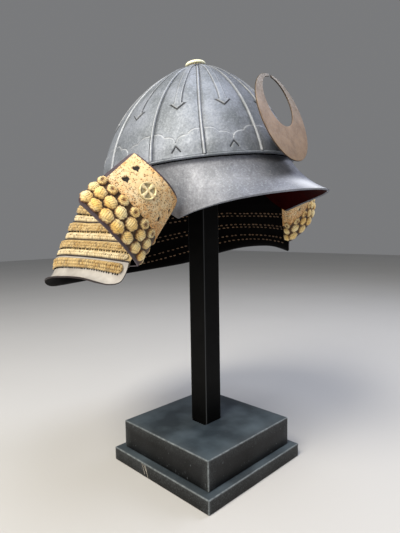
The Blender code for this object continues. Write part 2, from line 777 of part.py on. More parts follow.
def main():
    for old in list(bpy.data.objects):
        bpy.data.objects.remove(old, do_unlink=True)
    iron = material("gunmetal_iron", (0.115, 0.125, 0.150), 0.42, 0.9)
    steel = material("blackened_steel", (0.030, 0.034, 0.038), 0.40, 0.8)
    black = material("black_post_paint", (0.008, 0.008, 0.009), 0.45)
    cap_brass = material("pale_brass", (0.62, 0.55, 0.34), 0.45, 0.6)
    bronze = material("matt_bronze", (0.33, 0.25, 0.20), 0.55, 0.5)
    pale_lame = material("lacquered_lame", (0.55, 0.45, 0.31), 0.55)
    skirt = material("grey_skirt", (0.42, 0.38, 0.33), 0.50)
    cord = material("gold_lacing_cord", (0.66, 0.50, 0.24), 0.80)
    leather = material("smoked_leather", (0.72, 0.58, 0.36), 0.65)
    flap_iron = material("brown_flap_iron", (0.10, 0.07, 0.075), 0.50, 0.6)

    seat = helmet_seat()
    for number in range(2 * len(SIDE_RIBS)):
        bowl_plate(number, iron, seat)
    rim_lip(iron, seat)
    crown_fitting(cap_brass, cap_brass, seat)
    visor(iron, seat)
    neck_guard(pale_lame, skirt, cord, seat)
    for word, side in (("left", 1), ("right", -1)):
        flap(word, side, flap_iron, leather, cord, cap_brass, seat)
    crest(bronze, seat)
    crest_holder(iron, seat)
    pad_floor = stand_pad(black, seat)
    underside = seat.matrix_world @ Vector((0, -CROWN_FORWARD, pad_floor))
    stand(steel, black, underside.z)


main()
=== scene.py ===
"""The looks of an iron kabuto on its plain square display stand.

Metres, +Z up, front towards -Y. The helmet's pieces are made level about the middle of the bowl's
rim, and SEAT sets them on the post. Angles round the helmet start at the front and grow towards the
wearer's left, +X. A grid of points has its rows running down and its columns running leftwards, so
down x along points out of the helmet.
"""

import math

import bpy
import numpy as np
from mathutils import Euler, Matrix, Vector


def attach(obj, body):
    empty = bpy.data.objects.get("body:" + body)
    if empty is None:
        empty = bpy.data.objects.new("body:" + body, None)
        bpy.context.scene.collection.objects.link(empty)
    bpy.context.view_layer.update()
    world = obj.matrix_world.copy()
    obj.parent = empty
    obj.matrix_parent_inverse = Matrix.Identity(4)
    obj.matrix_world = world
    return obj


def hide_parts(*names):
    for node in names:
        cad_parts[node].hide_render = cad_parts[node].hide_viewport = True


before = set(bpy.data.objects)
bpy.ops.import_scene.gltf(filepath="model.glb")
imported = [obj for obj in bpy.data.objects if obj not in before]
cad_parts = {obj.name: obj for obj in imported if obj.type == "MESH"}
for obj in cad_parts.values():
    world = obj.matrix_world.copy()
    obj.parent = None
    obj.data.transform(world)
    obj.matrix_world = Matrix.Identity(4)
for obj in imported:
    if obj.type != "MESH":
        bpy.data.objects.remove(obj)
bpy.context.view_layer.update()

MM = 0.001
GAP = 0.3 * MM
RANDOM = np.random.default_rng(12)

# Where the helmet sits: a little turned, tipped back, and down on its right.
SEAT_AT = Vector((-0.0043, 0.0033, 0.3488))
SEAT = Matrix.Translation(SEAT_AT) @ Euler(
    (-math.radians(4.5), -math.radians(3.1), math.radians(2.6)), "YXZ").to_matrix().to_4x4()

# Bowl.
RIM_HALF_WIDTH = 0.1057
RIM_HALF_LENGTH = 0.1122
BOWL_HEIGHT = 0.1102
CROWN_FORWARD = 0.0140
CROWN_FORWARD_POWER = 2.0
CROWN_SHARE = 0.10
DOME_START = 0.205
DOME_POWER = 1.34
DOME_POWER_FORWARD = 0.12
SIDE_RIBS = [15.0, 46.0, 73.5, 104.0, 135.0, 165.0]
PLATE_THICKNESS = 1.6 * MM
RIB_HALF_WIDTH = 1.9 * MM
RIB_HEIGHT = 2.2 * MM
RIB_TAPER = 0.5
RIB_COLUMNS = 11
# The painted shade on each of a rib's columns: it lies at the rib's foot, away from the light.
RIB_PAINTED_SHADE = [0.0] * 9 + [0.15, 0.55]
# How bright the painted highlight along each rib's crest is.
RIB_PAINTED_HIGHLIGHT = 0.35
# A plate's inner face keeps one in this many of its rows and columns.
PLATE_STRIDE = 4

# Marks on each plate, in millimetres up from the rim and across from the plate's middle.
ARROW_TIP = 50.8
ARROW_BARB_UP = 57.4
ARROW_BARB_ACROSS = 4.3
ARROW_SLOPE = 0.95
ARROW_RISE = 1.25
SHAFT_WIDTHS = [(50.0, 4.4), (57.0, 3.7), (62.0, 3.3), (70.0, 3.0), (98.0, 2.9), (146.0, 1.7)]
CLOUD_HEIGHTS = [(0.0, 12.3), (0.03, 15.5), (0.10, 18.2), (0.22, 19.8), (0.38, 20.6), (0.44, 20.2),
                 (0.50, 22.6), (0.60, 24.8), (0.72, 26.0), (1.0, 26.4)]
CLOUD_RISE = 0.7
CHEVRON_APEX = 9.8
CHEVRON_LEG = (4.2, 4.3)
CHEVRON_HALF_WIDTH = 0.78
CHEVRON_DEPTH = 0.8
EDGE_SOFTNESS = 0.55
PLATE_PILLOW = 1.2

# Crown pieces, each (radius, height above the bowl) in mm, and where its pairs of petals stand.
CROWN_RING = [(7.2, -1.8), (8.8, -1.8), (8.8, 1.5), (13.0, 1.5), (13.8, 1.9), (13.9, 2.4), (13.2, 2.9),
              (11.0, 3.1), (7.2, 3.1)]
PETAL_RING = [(7.9, 3.4), (9.9, 3.4), (9.9, 4.0), (7.9, 4.0)]
PETAL = [(0.0, 0.0), (1.15, 0.0), (1.3, 1.2), (1.0, 2.3), (0.0, 2.35)]
PETALS_OUT = 8.8
PETALS_UP = 4.0
PETALS_APART = 0.17
CROWN_CAP = [(0.0, 5.4), (10.2, 5.4), (11.1, 5.7), (11.5, 6.4), (11.3, 7.4), (10.4, 8.4), (8.8, 9.2),
             (6.9, 9.9), (4.6, 10.4), (2.3, 10.7), (0.0, 10.8)]

# Visor.
VISOR_HALF_ANGLE = 87.0
VISOR_ROWS = 32
VISOR_BARE_ROWS = 1
VISOR_COLUMNS = 160
VISOR_TUCK = 0.0040
VISOR_TOP = -0.0034
VISOR_EDGE_HALF_WIDTH = 0.0976
VISOR_EDGE_REACH = 0.0998
VISOR_EDGE_BACK = -0.0499
VISOR_EDGE_DROP = -0.0641
VISOR_EDGE_RISE = 0.0276
VISOR_EDGE_WAVE = -0.0060
VISOR_WAIST = 0.30
VISOR_WAIST_DROP = 0.62
VISOR_THICKNESS = 1.6 * MM

# Neck guard: each size is (its value at share 0, what it gains by share 1).
GUARD_HALF_WIDTH = (0.1249, 0.0389)
GUARD_MIDDLE = (0.0374, 0.0056)
GUARD_BEHIND = (0.1036, 0.0466)
GUARD_AHEAD = (0.2000, -0.0270)
GUARD_HEIGHT = (-0.0437, -0.0771)
GUARD_TILT = (-0.0190, 0.0063)
GUARD_WAVE = (-0.0040, -0.0181)
GUARD_FRONT_ANGLE = (63.3, 5.6)
# The share at which each lame starts; the first one hangs from the rim instead.
LAME_TOPS = [None, -0.11, 0.155, 0.432, 0.682]
LAME_OVERLAP = 0.05
LAME_STEP_OUT = 0.0010
LAME_STEP_IN = 0.0020
LAME_THICKNESS = 1.4 * MM
HANGING_FRONT_ANGLE = 77.0
HANGING_OUT = 0.0010
HANGING_Z = -0.0029
FIRST_LAME_SHORT = 1.5
SKIRT_CORNER_START = 0.86
SKIRT_CORNER_ANGLE = 6.0
SKIRT_FLARE = 0.0030
SKIRT_HOLLOW = 0.0040
# The skirt's lower edge: (degrees from the front, height).
SKIRT_EDGE = [(62.0, -0.1160), (70.0, -0.1100), (80.0, -0.1015), (90.0, -0.0992), (102.0, -0.1000),
              (115.0, -0.1050), (133.0, -0.1145), (150.0, -0.1175), (180.0, -0.1172)]
LAME_STEPS = 240
# Where each band of lace lies on its lame, as shares of the lame's depth, and the roll below it.
LACING_SPANS = [None, (0.085, 0.47), (0.085, 0.47), (0.085, 0.47), (0.070, 0.37)]
LACING_ROLL_SPAN = (0.545, 0.845)
LACING_SHORT = 1.2
LACING_STEPS = 1320
LACING_END = 4.5
# A strip's courses, its stitches' pitch and rise in mm, and how far the strip swells in mm.
BAND_WEAVE = (3, 2.5, 1.75, 0.3)
ROLL_WEAVE = (2, 2.3, 0.9, 0.9)

# Flaps: the left one; the right one is its mirror image.
FOLD_TOP = np.array((0.0995, -0.0597, -0.0396))
FOLD_BOTTOM = np.array((0.1344, -0.0343, -0.0960))
FLAP_LOW_CORNER = np.array((0.1943, -0.0402, -0.0350))
FLAP_HIGH_CORNER = np.array((0.1341, -0.0460, 0.0052))
FLAP_BULGE = 0.0144
FLAP_THICKNESS = 1.6 * MM
FLAP_CORNER_DOWN = 0.10
FLAP_CORNER_ACROSS = 0.06
# The return's columns: how far across each is, where -1 would be 100 mm back from the fold.
FOLD_BACK = np.array((-0.12, -0.06, -0.03, -0.015))
LEATHER_ACROSS = (0.01, 0.965)
LEATHER_DOWN = (0.03, 0.565)
LEATHER_THICKNESS = 1.2 * MM

# Knots: (how far down the flap, how far across each is, half a knot's length and width in mm).
KNOT_ROWS = [
    (0.607, (0.969, 0.851, 0.703, 0.528, 0.339, 0.163, -0.040), 4.6, 5.3),
    (0.740, (0.975, 0.905, 0.779, 0.642, 0.474, 0.293, 0.129, -0.050), 5.6, 6.3),
    (0.893, (0.955, 0.857, 0.725, 0.578, 0.418, 0.252, 0.094, -0.052), 5.7, 6.8),
]
KNOT_HEIGHT = 4.3
LEFT_KNOT_SPREAD = 1.07
BOSS_AT = (0.571, 0.298)
BOSS_RADIUS = 8.3
KNOT_BED_DOWN = (0.545, 0.965)
KNOT_BED_ACROSS = (-0.105, 0.972)
HEART_HOLES = [(0.827, 0.182), (0.823, 0.387)]
FOLD_CORNER = 0.10
EYELETS = [(0.193, 0.407), (0.095, 0.215)]
EYELET_RADIUS = 1.8
EYELET_RING_RADIUS = 2.6

# Crest.
CREST_AT = Vector((0.0, -0.1192, 0.0315))
CREST_TURN = Euler((-math.radians(13.2), 0.0, math.radians(4.0)), "XYZ").to_matrix()
CREST_RADIUS = 0.0458
CREST_HOLE_RADIUS = 0.0263
CREST_HOLE_UP = 0.0168
CREST_THICKNESS = 1.5
CREST_EASE = 0.35
HORN_GAP_ANGLE = 3.4
CREST_STEPS = 160

# Stand.
LOWER_SIDE = 0.160
LOWER_HEIGHT = 0.0157
UPPER_SIDE = 0.1415
UPPER_TOP = 0.0493
POST_SIDE = 0.0254
# Scratches on the lower plate's right side, in mm: (along, up) at the low end and at the high end.
SCRATCHES = [((21.0, 3.2), (26.6, 14.9)), ((15.4, 0.8), (20.2, 14.0)), ((18.6, 7.4), (23.0, 14.4))]

# Camera, in metres and degrees: its place about the axis, and how it is aimed from there.
CAMERA_TURN = -45.6499
CAMERA_DISTANCE = 0.52292
CAMERA_HEIGHT = 0.28117
CAMERA_ASIDE = 0.5207
CAMERA_TIP = -4.8358
CAMERA_ROLL = -0.9393


# ---------------------------------------------------------------- finishes


def linear(hex_colour):
    """A hex sRGB colour as linear RGBA."""
    parts = [int(hex_colour[i:i + 2], 16) / 255 for i in (1, 3, 5)]
    return [part / 12.92 if part <= 0.04045 else ((part + 0.055) / 1.055) ** 2.4 for part in parts] + [1.0]


def add(made, kind, settings=None):
    """Adds a node to a material and gives its outputs; settings are its properties, values and links."""
    node = made.node_tree.nodes.new("ShaderNode" + kind)
    for key, value in (settings or {}).items():
        if isinstance(key, str) and hasattr(node, key):
            setattr(node, key, value)
        elif isinstance(value, bpy.types.NodeSocket):
            made.node_tree.links.new(value, node.inputs[key])
        else:
            node.inputs[key].default_value = linear(value) if isinstance(value, str) else value
    return node.outputs


def start_finish(name, **sockets):
    """A new material with its shader's even values set."""
    made = bpy.data.materials.new(name)
    made.use_nodes = True
    for socket, value in sockets.items():
        made.node_tree.nodes["Principled BSDF"].inputs[socket.replace("_", " ")].default_value = value
    return made


def mottle(made, size_mm, detail=2.0, rough=0.5, levels=(0.0, 1.0), to=(0.0, 1.0), upright=1.0):
    """Cloudy marks about this many mm across, cut off at two levels; upright below 1 makes them taller."""
    place = add(made, "TexCoord")["Object"]
    spot = add(made, "Mapping", {"Vector": place, "Scale": (1.0, 1.0, upright)})[0]
    noise = add(made, "TexNoise", {"Vector": spot, "Scale": 1 / (size_mm * MM), "Detail": detail,
                                   "Roughness": rough})["Fac"]
    return add(made, "MapRange", {"Value": noise, "From Min": levels[0], "From Max": levels[1],
                                  "To Min": to[0], "To Max": to[1]})[0]


def coats(made, colour, layers):
    """Lays colours over each other, each (colour, where, low, high, most); where can be a mark's name."""
    for over, where, *levels in layers:
        low, high, most = levels or (0.0, 1.0, 1.0)
        if isinstance(where, str):
            where = add(made, "Attribute", {"attribute_name": where})["Fac"]
        amount = add(made, "MapRange", {"Value": where, "From Min": low, "From Max": high, "To Max": most})[0]
        colour = add(made, "Mix", {"data_type": "RGBA", 0: amount, 6: colour, 7: over})[2]
    return colour


def dress(made, colour, bumps=(), rough=None):
    """Gives a material its colour, its bumps as (height, depth in mm), and its roughness if it varies."""
    links = {"Base Color": colour}
    if rough:
        links["Roughness"] = rough
    below = {}
    for height, depth in bumps:
        below["Normal"] = add(made, "Bump", {"Height": height, "Distance": depth * MM, **below})["Normal"]
    for socket, source in {**links, **below}.items():
        made.node_tree.links.new(source, made.node_tree.nodes["Principled BSDF"].inputs[socket])
    return made


def burnished_iron(name, dark, light):
    """Forged iron plate, ground and burnished: soft grey metal, cloudy, with painted shade in the tooled
    marks and painted highlights on their raised edges.
    """
    made = start_finish(name, Metallic=0.35)
    # The grit is far finer in life, and is drawn 2.2 mm across so that it shows.
    grain = mottle(made, 2.2, 5.0, 0.75)
    colour = coats(made, dark, [
        (light, mottle(made, 26, 3.0, 0.5, (0.36, 0.64))),
        ("#A9AFB8", grain, 0.50, 0.72, 0.6),
        ("#565A62", grain, 0.48, 0.30, 0.5),
        # Painted highlights in pale grey on raised edges and toward the visor's tip; painted shade in near
        # black in the tooled marks, at the ribs' feet, under the crest and behind the flaps.
        ("#D3D7DC", "painted_highlight"),
        ("#101114", "painted_shade"),
    ])
    smears = mottle(made, 9, 3.0, 0.6, (0.32, 0.68), (0.47, 0.63), 0.35)
    return dress(made, colour, [(grain, 0.20), (mottle(made, 5.5, 3.0, 0.6), 0.5)], smears)


def lacquer(name, deep, light, rough, shine=0.5):
    """Brushed-on urushi lacquer over iron: even colour, slightly clouded, with a low sheen."""
    made = start_finish(name, Specular_IOR_Level=shine)
    cloud = mottle(made, 14, 4.0, 0.6, (0.33, 0.67))
    # Brush marks, drawn 0.9 mm across so that they show.
    fine = mottle(made, 0.9, 3.0)
    colour = coats(made, deep, [(light, cloud), (deep, fine, 0.45, 0.75, 0.25)])
    rough = add(made, "MapRange", {"Value": cloud, "To Min": rough - 0.05, "To Max": rough + 0.06})[0]
    return dress(made, colour, [(fine, 0.05), (mottle(made, 5), 0.08)], rough)


def silk_lacing(name, deep, light, brown):
    """Plaited silk lace, faded to old gold: matt, with painted shade in its hollows and a soft sheen on its
    crowns.
    """
    made = start_finish(name, Roughness=0.85, Sheen_Weight=0.25, Sheen_Roughness=0.5)
    # A silk thread is about 0.2 mm, and is drawn 0.55 mm across so that it shows.
    thread = mottle(made, 0.55, 3.0, 0.6)
    colour = coats(made, deep, [
        (light, mottle(made, 11, 3.0, 0.5, (0.35, 0.65))),
        (light, "strand"),
        (deep, thread, 0.40, 0.70, 0.4),
        # Brown as painted shade in the hollows.
        (brown, "hollow"),
    ])
    return dress(made, colour, [(thread, 0.16)])


def smoked_leather():
    """Deerskin glued to the flap, smoked cream and tan: mottled brown, and worn into pits near its edges."""
    made = start_finish("smoked_leather", Roughness=0.72)
    wear = add(made, "Attribute", {"attribute_name": "wear"})["Fac"]
    blots = mottle(made, 3.2, 5.0, 0.7)
    stain = add(made, "Math", {"operation": "MULTIPLY_ADD", 0: wear, 1: 0.30, 2: blots})[0]
    place = add(made, "TexCoord")["Object"]
    pits = add(made, "TexVoronoi", {"Vector": place, "Scale": 1 / (1.35 * MM)})["Distance"]
    ragged = mottle(made, 1.0, 3.0, 0.6, to=(-0.45, 0.45))
    depth = add(made, "Math", {"operation": "ADD", 0: pits, 1: ragged})[0]
    pit = add(made, "MapRange", {"Value": depth, "From Min": 0.42, "From Max": 0.20})[0]
    stained = add(made, "MapRange", {"Value": stain, "From Min": 0.45, "From Max": 0.57})[0]
    pitted = add(made, "Math", {"operation": "MULTIPLY", 0: pit, 1: stained})[0]
    sound = add(made, "Math", {"operation": "SUBTRACT", 0: 1.0, 1: pitted})[0]
    colour = coats(made, "#E6D2A8", [
        ("#E8C48A", mottle(made, 16, 4.0, 0.6, (0.40, 0.66))),
        ("#CC904A", stain, 0.52, 0.76, 0.85),
        ("#52331A", pitted),
        # Painted shade, near black, in the heart holes and eyelets.
        ("#17110C", "painted_shade"),
    ])
    # The skin's pores are finer in life, and are drawn 1.1 mm apart so that they show.
    return dress(made, colour, [(sound, 0.35), (mottle(made, 1.1, 4.0, 0.6), 0.12)])


def pale_brass(name, deep, light, metal):
    """Cast yellow brass, long unpolished: pale on its high places, greenish grey in its hollows."""
    made = start_finish(name, Metallic=metal)
    tone = mottle(made, 2.2, 4.0, 0.6, (0.38, 0.66))
    rough = add(made, "MapRange", {"Value": tone, "To Min": 0.52, "To Max": 0.36})[0]
    colour = coats(made, deep, [(light, tone), ("#5C5638", "hollow")])
    # The casting's grain, drawn 0.8 mm across so that it shows.
    return dress(made, colour, [(mottle(made, 0.8, 3.0), 0.10)], rough)


def matt_bronze():
    """Bronze sheet cut to a crescent, dulled to a warm tan: matt, faintly clouded, greyer at its horns."""
    made = start_finish("matt_bronze_sheet", Metallic=0.35)
    cloud = mottle(made, 13, 5.0, 0.65, (0.34, 0.66))
    place = add(made, "TexCoord")["Object"]
    rough = add(made, "MapRange", {"Value": cloud, "To Min": 0.58, "To Max": 0.48})[0]
    colour = coats(made, "#80674E", [
        ("#9C8061", cloud),
        ("#696353", add(made, "SeparateXYZ", {"Vector": place})["Z"], 0.385, 0.430, 0.85),
        ("#9A9184", mottle(made, 2.0, 4.0), 0.50, 0.75, 0.4),
    ])
    return dress(made, colour, [(mottle(made, 0.9, 3.0), 0.06)], rough)


def edge_distance(made, half, low, high):
    """How far a place on a square block about the axis is from the block's nearest edge, in metres."""
    axes = add(made, "SeparateXYZ", {"Vector": add(made, "TexCoord")["Object"]})
    sizes = [add(made, "Math", {"operation": "ABSOLUTE", 0: axes[axis]})[0] for axis in "XY"]
    gaps = [add(made, "Math", {"operation": "SUBTRACT", 0: first, 1: second})[0]
            for first, second in ((half, sizes[0]), (half, sizes[1]), (high, axes["Z"]), (axes["Z"], low))]
    # The farther and nearer side, the nearer end, the farther of the last two, and the nearer of the rest.
    for operation, first, second in (("MAXIMUM", 0, 1), ("MINIMUM", 0, 1), ("MINIMUM", 2, 3),
                                     ("MAXIMUM", 5, 6), ("MINIMUM", 4, 7)):
        gaps.append(add(made, "Math", {"operation": operation, 0: gaps[first], 1: gaps[second]})[0])
    return gaps[-1]


def blackened_steel(name, half, low, high, scuff):
    """Mild steel, blackened and oiled: charcoal, lighter on top as dust and as painted light from above,
    scratched, with edges worn bright.
    """
    made = start_finish(name, Specular_IOR_Level=0.2)
    cloud = mottle(made, 48, 3.0, 0.5, (0.38, 0.68))
    # The rolled steel's grain, drawn 1.3 mm across so that it shows.
    grain = mottle(made, 1.3, 4.0, 0.7)
    to_edge = edge_distance(made, half, low, high)
    upward = add(made, "SeparateXYZ", {"Vector": add(made, "NewGeometry")["Normal"]})["Z"]
    patches = add(made, "MapRange", {"Value": grain, "From Min": 0.35, "From Max": 0.6})[0]
    ragged = mottle(made, 5, 4.0, 0.7, (0.35, 0.65), (0.3, 1.0))
    smudged, rubbed = (
        add(made, "Math", {"operation": "MULTIPLY", 0: where, 1: add(made, "MapRange", {
            "Value": to_edge, "From Min": far, "From Max": close, "To Max": most})[0]})[0]
        for where, far, close, most in ((patches, 0.012, 0.001, 0.5), (ragged, 0.0018, 0.0003, 0.9)))
    colour = coats(made, "#060708", [
        ("#131518", cloud),
        # Lighter on upward faces: dust, and painted light from above.
        (coats(made, "#374149", [("#5C6A74", cloud)]), upward, 0.5, 0.9, 0.8),
        ("#545A5C", grain, 0.52, 0.72, scuff),
        ("#7C8288", mottle(made, 1.6, upright=0.3), 0.70, 0.76, 0.5),
        ("#4A4E50", smudged),
        ("#8A9296", rubbed),
    ])
    rough = add(made, "MapRange", {"Value": cloud, "To Min": 0.46, "To Max": 0.34})[0]
    return dress(made, colour, [(grain, 0.05)], rough)


def post_paint():
    """Satin black paint on square steel tube: near black, rubbed to a faint grey along the corners, which
    also paints their highlight.
    """
    made = start_finish("satin_black_paint", Roughness=0.5, Specular_IOR_Level=0.08)
    colour = coats(made, "#040404", [
        ("#0A0A0A", mottle(made, 22, 3.0, 0.5, (0.4, 0.7))),
        # Faint grey along the corners: rubbed paint, and painted highlight on the edges.
        ("#4A4D50", edge_distance(made, POST_SIDE / 2, UPPER_TOP, 1.0), 0.0011, 0.0003, 0.8),
    ])
    return dress(made, colour, [(mottle(made, 1.0), 0.03)])


def studio_paper():
    """Matt pale studio paper."""
    made = start_finish("studio_paper", Roughness=0.9)
    return dress(made, coats(made, "#C4C4C3", [("#CBCBCA", mottle(made, 300))]))


# ---------------------------------------------------------------- shapes


def smooth_step(value):
    """Eases from 0 to 1 as the value goes from 0 to 1."""
    value = np.clip(value, 0.0, 1.0)
    return value * value * (3 - 2 * value)


def near(value, width):
    """1 where the value is 0, fading smoothly over about this width on both sides."""
    return np.exp(-(value / width) ** 2)


def oval(half_width, half_length, angle, height, middle=0.0):
    """Points at these angles round an oval about the axis, the first at its front."""
    return np.stack(np.broadcast_arrays(
        half_width * np.sin(angle), middle - half_length * np.cos(angle), height), axis=-1)


def from_table(table, value):
    """Values on the straight lines through a table of (place, value) rows."""
    return np.interp(value, [row[0] for row in table], [row[1] for row in table])


def unit(vectors):
    return vectors / np.maximum(np.linalg.norm(vectors, axis=-1, keepdims=True), 1e-12)


def lengths_along(line):
    """How far along a line of points each of them is."""
    return np.concatenate([[0], np.cumsum(np.linalg.norm(np.diff(line, axis=0), axis=1))])


def grid_normals(points):
    """The outward normal at each point of a grid."""
    return unit(np.cross(np.gradient(points, axis=0), np.gradient(points, axis=1)))


def raised(points, height):
    """A grid moved outwards along its normals."""
    height = height if np.ndim(height) == 0 else np.asarray(height)[..., None]
    return points + grid_normals(points) * height


def make_mesh(name, points, faces, finishes, face_finish=None, marks=None, smooth_angle=40.0):
    """A named object from points and faces, with a material for each face and named values on its points."""
    mesh = bpy.data.meshes.new(name)
    mesh.from_pydata(np.asarray(points).tolist(), [], faces)
    for finish in finishes:
        mesh.materials.append(finish)
    if face_finish is not None:
        mesh.polygons.foreach_set("material_index", np.asarray(face_finish, dtype=np.int32))
    for mark, values in (marks or {}).items():
        layer = mesh.attributes.new(mark, "FLOAT", "POINT")
        layer.data.foreach_set("value", np.asarray(values, dtype=np.float32).ravel())
    mesh.shade_smooth()
    mesh.set_sharp_from_angle(angle=math.radians(smooth_angle))
    made = bpy.data.objects.new(name, mesh)
    bpy.context.scene.collection.objects.link(made)
    return made


def grid_faces(rows, columns, first=0):
    corners = np.arange(first, first + rows * columns).reshape(rows, columns)
    quads = np.stack([corners[:-1, :-1], corners[1:, :-1], corners[1:, 1:], corners[:-1, 1:]], axis=-1)
    return quads.reshape(-1, 4).tolist()


def sheet_piece(name, outer, inner, finishes, own_finish=None, marks=None, stride=1, smooth_angle=40.0):
    """A sheet between two grids, the inner one thinned to every stride-th row and column.

    finishes are its outer face's, inner face's and edges'; own_finish picks the outer ones face by face.
    """
    kept = inner[::stride, ::stride]
    start, spare = outer[..., 0].size, kept[..., 0].size
    front = grid_faces(*outer.shape[:2])
    behind = [face[::-1] for face in grid_faces(*kept.shape[:2], start)]
    out = np.arange(start).reshape(outer.shape[:2])
    back = np.arange(start, start + spare).reshape(kept.shape[:2])
    edges = []
    for line, back_line, turn in ((out[0], back[0], 1), (out[-1], back[-1], -1),
                                  (out[:, 0], back[:, 0], -1), (out[:, -1], back[:, -1], 1)):
        for step in range(len(back_line) - 1):
            loop = [*line[step * stride:(step + 1) * stride + 1], back_line[step + 1], back_line[step]]
            edges.append([int(corner) for corner in loop][::turn])
    face_finish = [0] * len(front) if own_finish is None else own_finish.ravel().tolist()
    face_finish += [1] * len(behind) + [2] * len(edges)
    points = np.concatenate([outer.reshape(-1, 3), kept.reshape(-1, 3)])
    marks = {mark: np.append(values, np.zeros(spare)) for mark, values in (marks or {}).items()}
    return make_mesh(name, points, front + behind + edges, finishes, face_finish, marks, smooth_angle)


def round_body(profile, steps):
    """Points and faces turned about Z from (radius, height) pairs in mm; a radius of 0 closes on the axis."""
    points, rings = [], []
    for radius, height in profile:
        rings.append(range(len(points), len(points) + (steps if radius else 1)))
        for step in range(len(rings[-1])):
            turn = 2 * math.pi * step / steps
            points.append((radius * math.cos(turn), radius * math.sin(turn), height))
    faces = []
    for first, second in zip(rings, rings[1:] + rings[:1] * (profile[0][0] != 0)):
        for step in range(steps):
            after = (step + 1) % steps
            loop = [first[step % len(first)], first[after % len(first)],
                    second[after % len(second)], second[step % len(second)]]
            faces.append(list(dict.fromkeys(loop)))
    return np.array(points) * MM, faces


def joined(bodies):
    """Several (points, faces) as one."""
    points, faces, count = [], [], 0
    for some_points, some_faces in bodies:
        points.append(np.asarray(some_points))
        faces += [[corner + count for corner in face] for face in some_faces]
        count += len(some_points)
    return np.concatenate(points), faces


def seat(piece, slot, *nodes, placed=SEAT):
    """Sets a piece in its place, and hides the parts that it stands for."""
    piece.data.transform(placed)
    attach(piece, "root")
    if nodes:
        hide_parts(*nodes)


def solid_piece(name, bodies, finish, slot, *nodes, placed=SEAT, **settings):
    """Some bodies, each (points, faces), as one seated piece in one finish."""
    seat(make_mesh(name, *joined(bodies), [finish], **settings), slot, *nodes, placed=placed)


# ---------------------------------------------------------------- bowl


def bowl(share, angle):
    """Points of the bowl's outer face: share 0 is the rim and 1 the crown ring; angle in radians."""
    lift = DOME_START + share * (math.pi / 2 - DOME_START)
    power = DOME_POWER + DOME_POWER_FORWARD * np.cos(angle)
    narrowed = (np.maximum(np.cos(lift), 0.0) / math.cos(DOME_START)) ** power
    reach = CROWN_SHARE + (1 - CROWN_SHARE) * narrowed
    height = (np.sin(lift) - math.sin(DOME_START)) / (1 - math.sin(DOME_START))
    height = np.maximum(height, 0.0)
    return oval(RIM_HALF_WIDTH * reach, RIM_HALF_LENGTH * reach, angle, BOWL_HEIGHT * height,
                -CROWN_FORWARD * height ** CROWN_FORWARD_POWER)


def plate_rows():
    """How far up the plate each row is, in mm, from the crown down: close together where the marks are."""
    ups = np.concatenate([np.arange(147, 66, -1.6), np.arange(66, 47, -0.6), np.arange(47, 30, -1.7),
                          np.arange(30, 0.3, -0.6), [0.0]])
    return np.delete(ups, np.arange(1, 1 + (len(ups) - 1) % PLATE_STRIDE))


def plate_columns():
    """How far across the panel each column is, from 0 to 1: close together over the arrow and chevron."""
    side = np.linspace(0, 0.33, 17)
    return np.concatenate([side, np.linspace(0.33, 0.67, 33)[1:-1], 1 - side[::-1]])


def arrow(across, up):
    """How far inside the raised arrow a place is, in mm; negative is outside."""
    across = np.abs(across)
    above_tip = (up - ARROW_TIP - ARROW_SLOPE * across) * 0.8
    head = np.minimum(above_tip, ARROW_BARB_UP + 0.12 * (ARROW_BARB_ACROSS - across) - up)
    shaft = np.minimum(above_tip, from_table(SHAFT_WIDTHS, up) - across)
    return np.maximum(head, shaft)


def chevron(across, up):
    """How far a place is from the cut chevron, in mm."""
    leg = np.array((CHEVRON_LEG[0], CHEVRON_LEG[1] - CHEVRON_APEX))
    spot = np.stack([np.abs(across), up - CHEVRON_APEX], axis=-1)
    along = np.clip(spot @ leg / (leg @ leg), 0.0, 1.0)
    return np.linalg.norm(spot - along[..., None] * leg, axis=-1)


def plate_relief(across, up, aside):
    """The height of a plate's marks in mm, and its painted shade and painted highlights; aside is 0 mid
    plate, 1 at a rib.
    """
    inside = arrow(across, up)
    over_cloud = (from_table(CLOUD_HEIGHTS, aside) - up) * 0.8
    groove = smooth_step(1.25 - chevron(across, up) / CHEVRON_HALF_WIDTH)
    fade = smooth_step((aside - 0.97) / -0.04)
    height = ARROW_RISE * smooth_step(inside / EDGE_SOFTNESS + 0.5) * (1 - 0.45 * smooth_step((up - 66) / 40))
    height += CLOUD_RISE * smooth_step(over_cloud / EDGE_SOFTNESS + 0.5) * fade
    height += PLATE_PILLOW * (1 - np.minimum(aside, 1) ** 2) * smooth_step(up / 12)
    height -= CHEVRON_DEPTH * groove
    # Painted shade under the arrowhead, beside the shaft (stronger on one side, away from the light), along
    # the cloud line and in the cut chevron; painted highlights along the arrow's and the cloud's raised
    # edges.
    under_head = near(inside + 0.45, 0.65) * smooth_step((61 - up) / 3)
    beside_shaft = near(inside + 0.35, 0.5) * smooth_step((up - 58) / 3) * np.where(across > 0, 0.85, 0.5)
    cloud_line = 0.5 * near(over_cloud + 0.45, 0.5) * fade
    painted_shade = np.clip(under_head + beside_shaft + cloud_line + 0.95 * groove, 0, 1)
    painted_highlight = 0.45 * near(inside - 0.3, 0.45) + 0.6 * near(over_cloud - 0.25, 0.5) * fade
    return height, painted_shade, np.clip(painted_highlight, 0, 1)


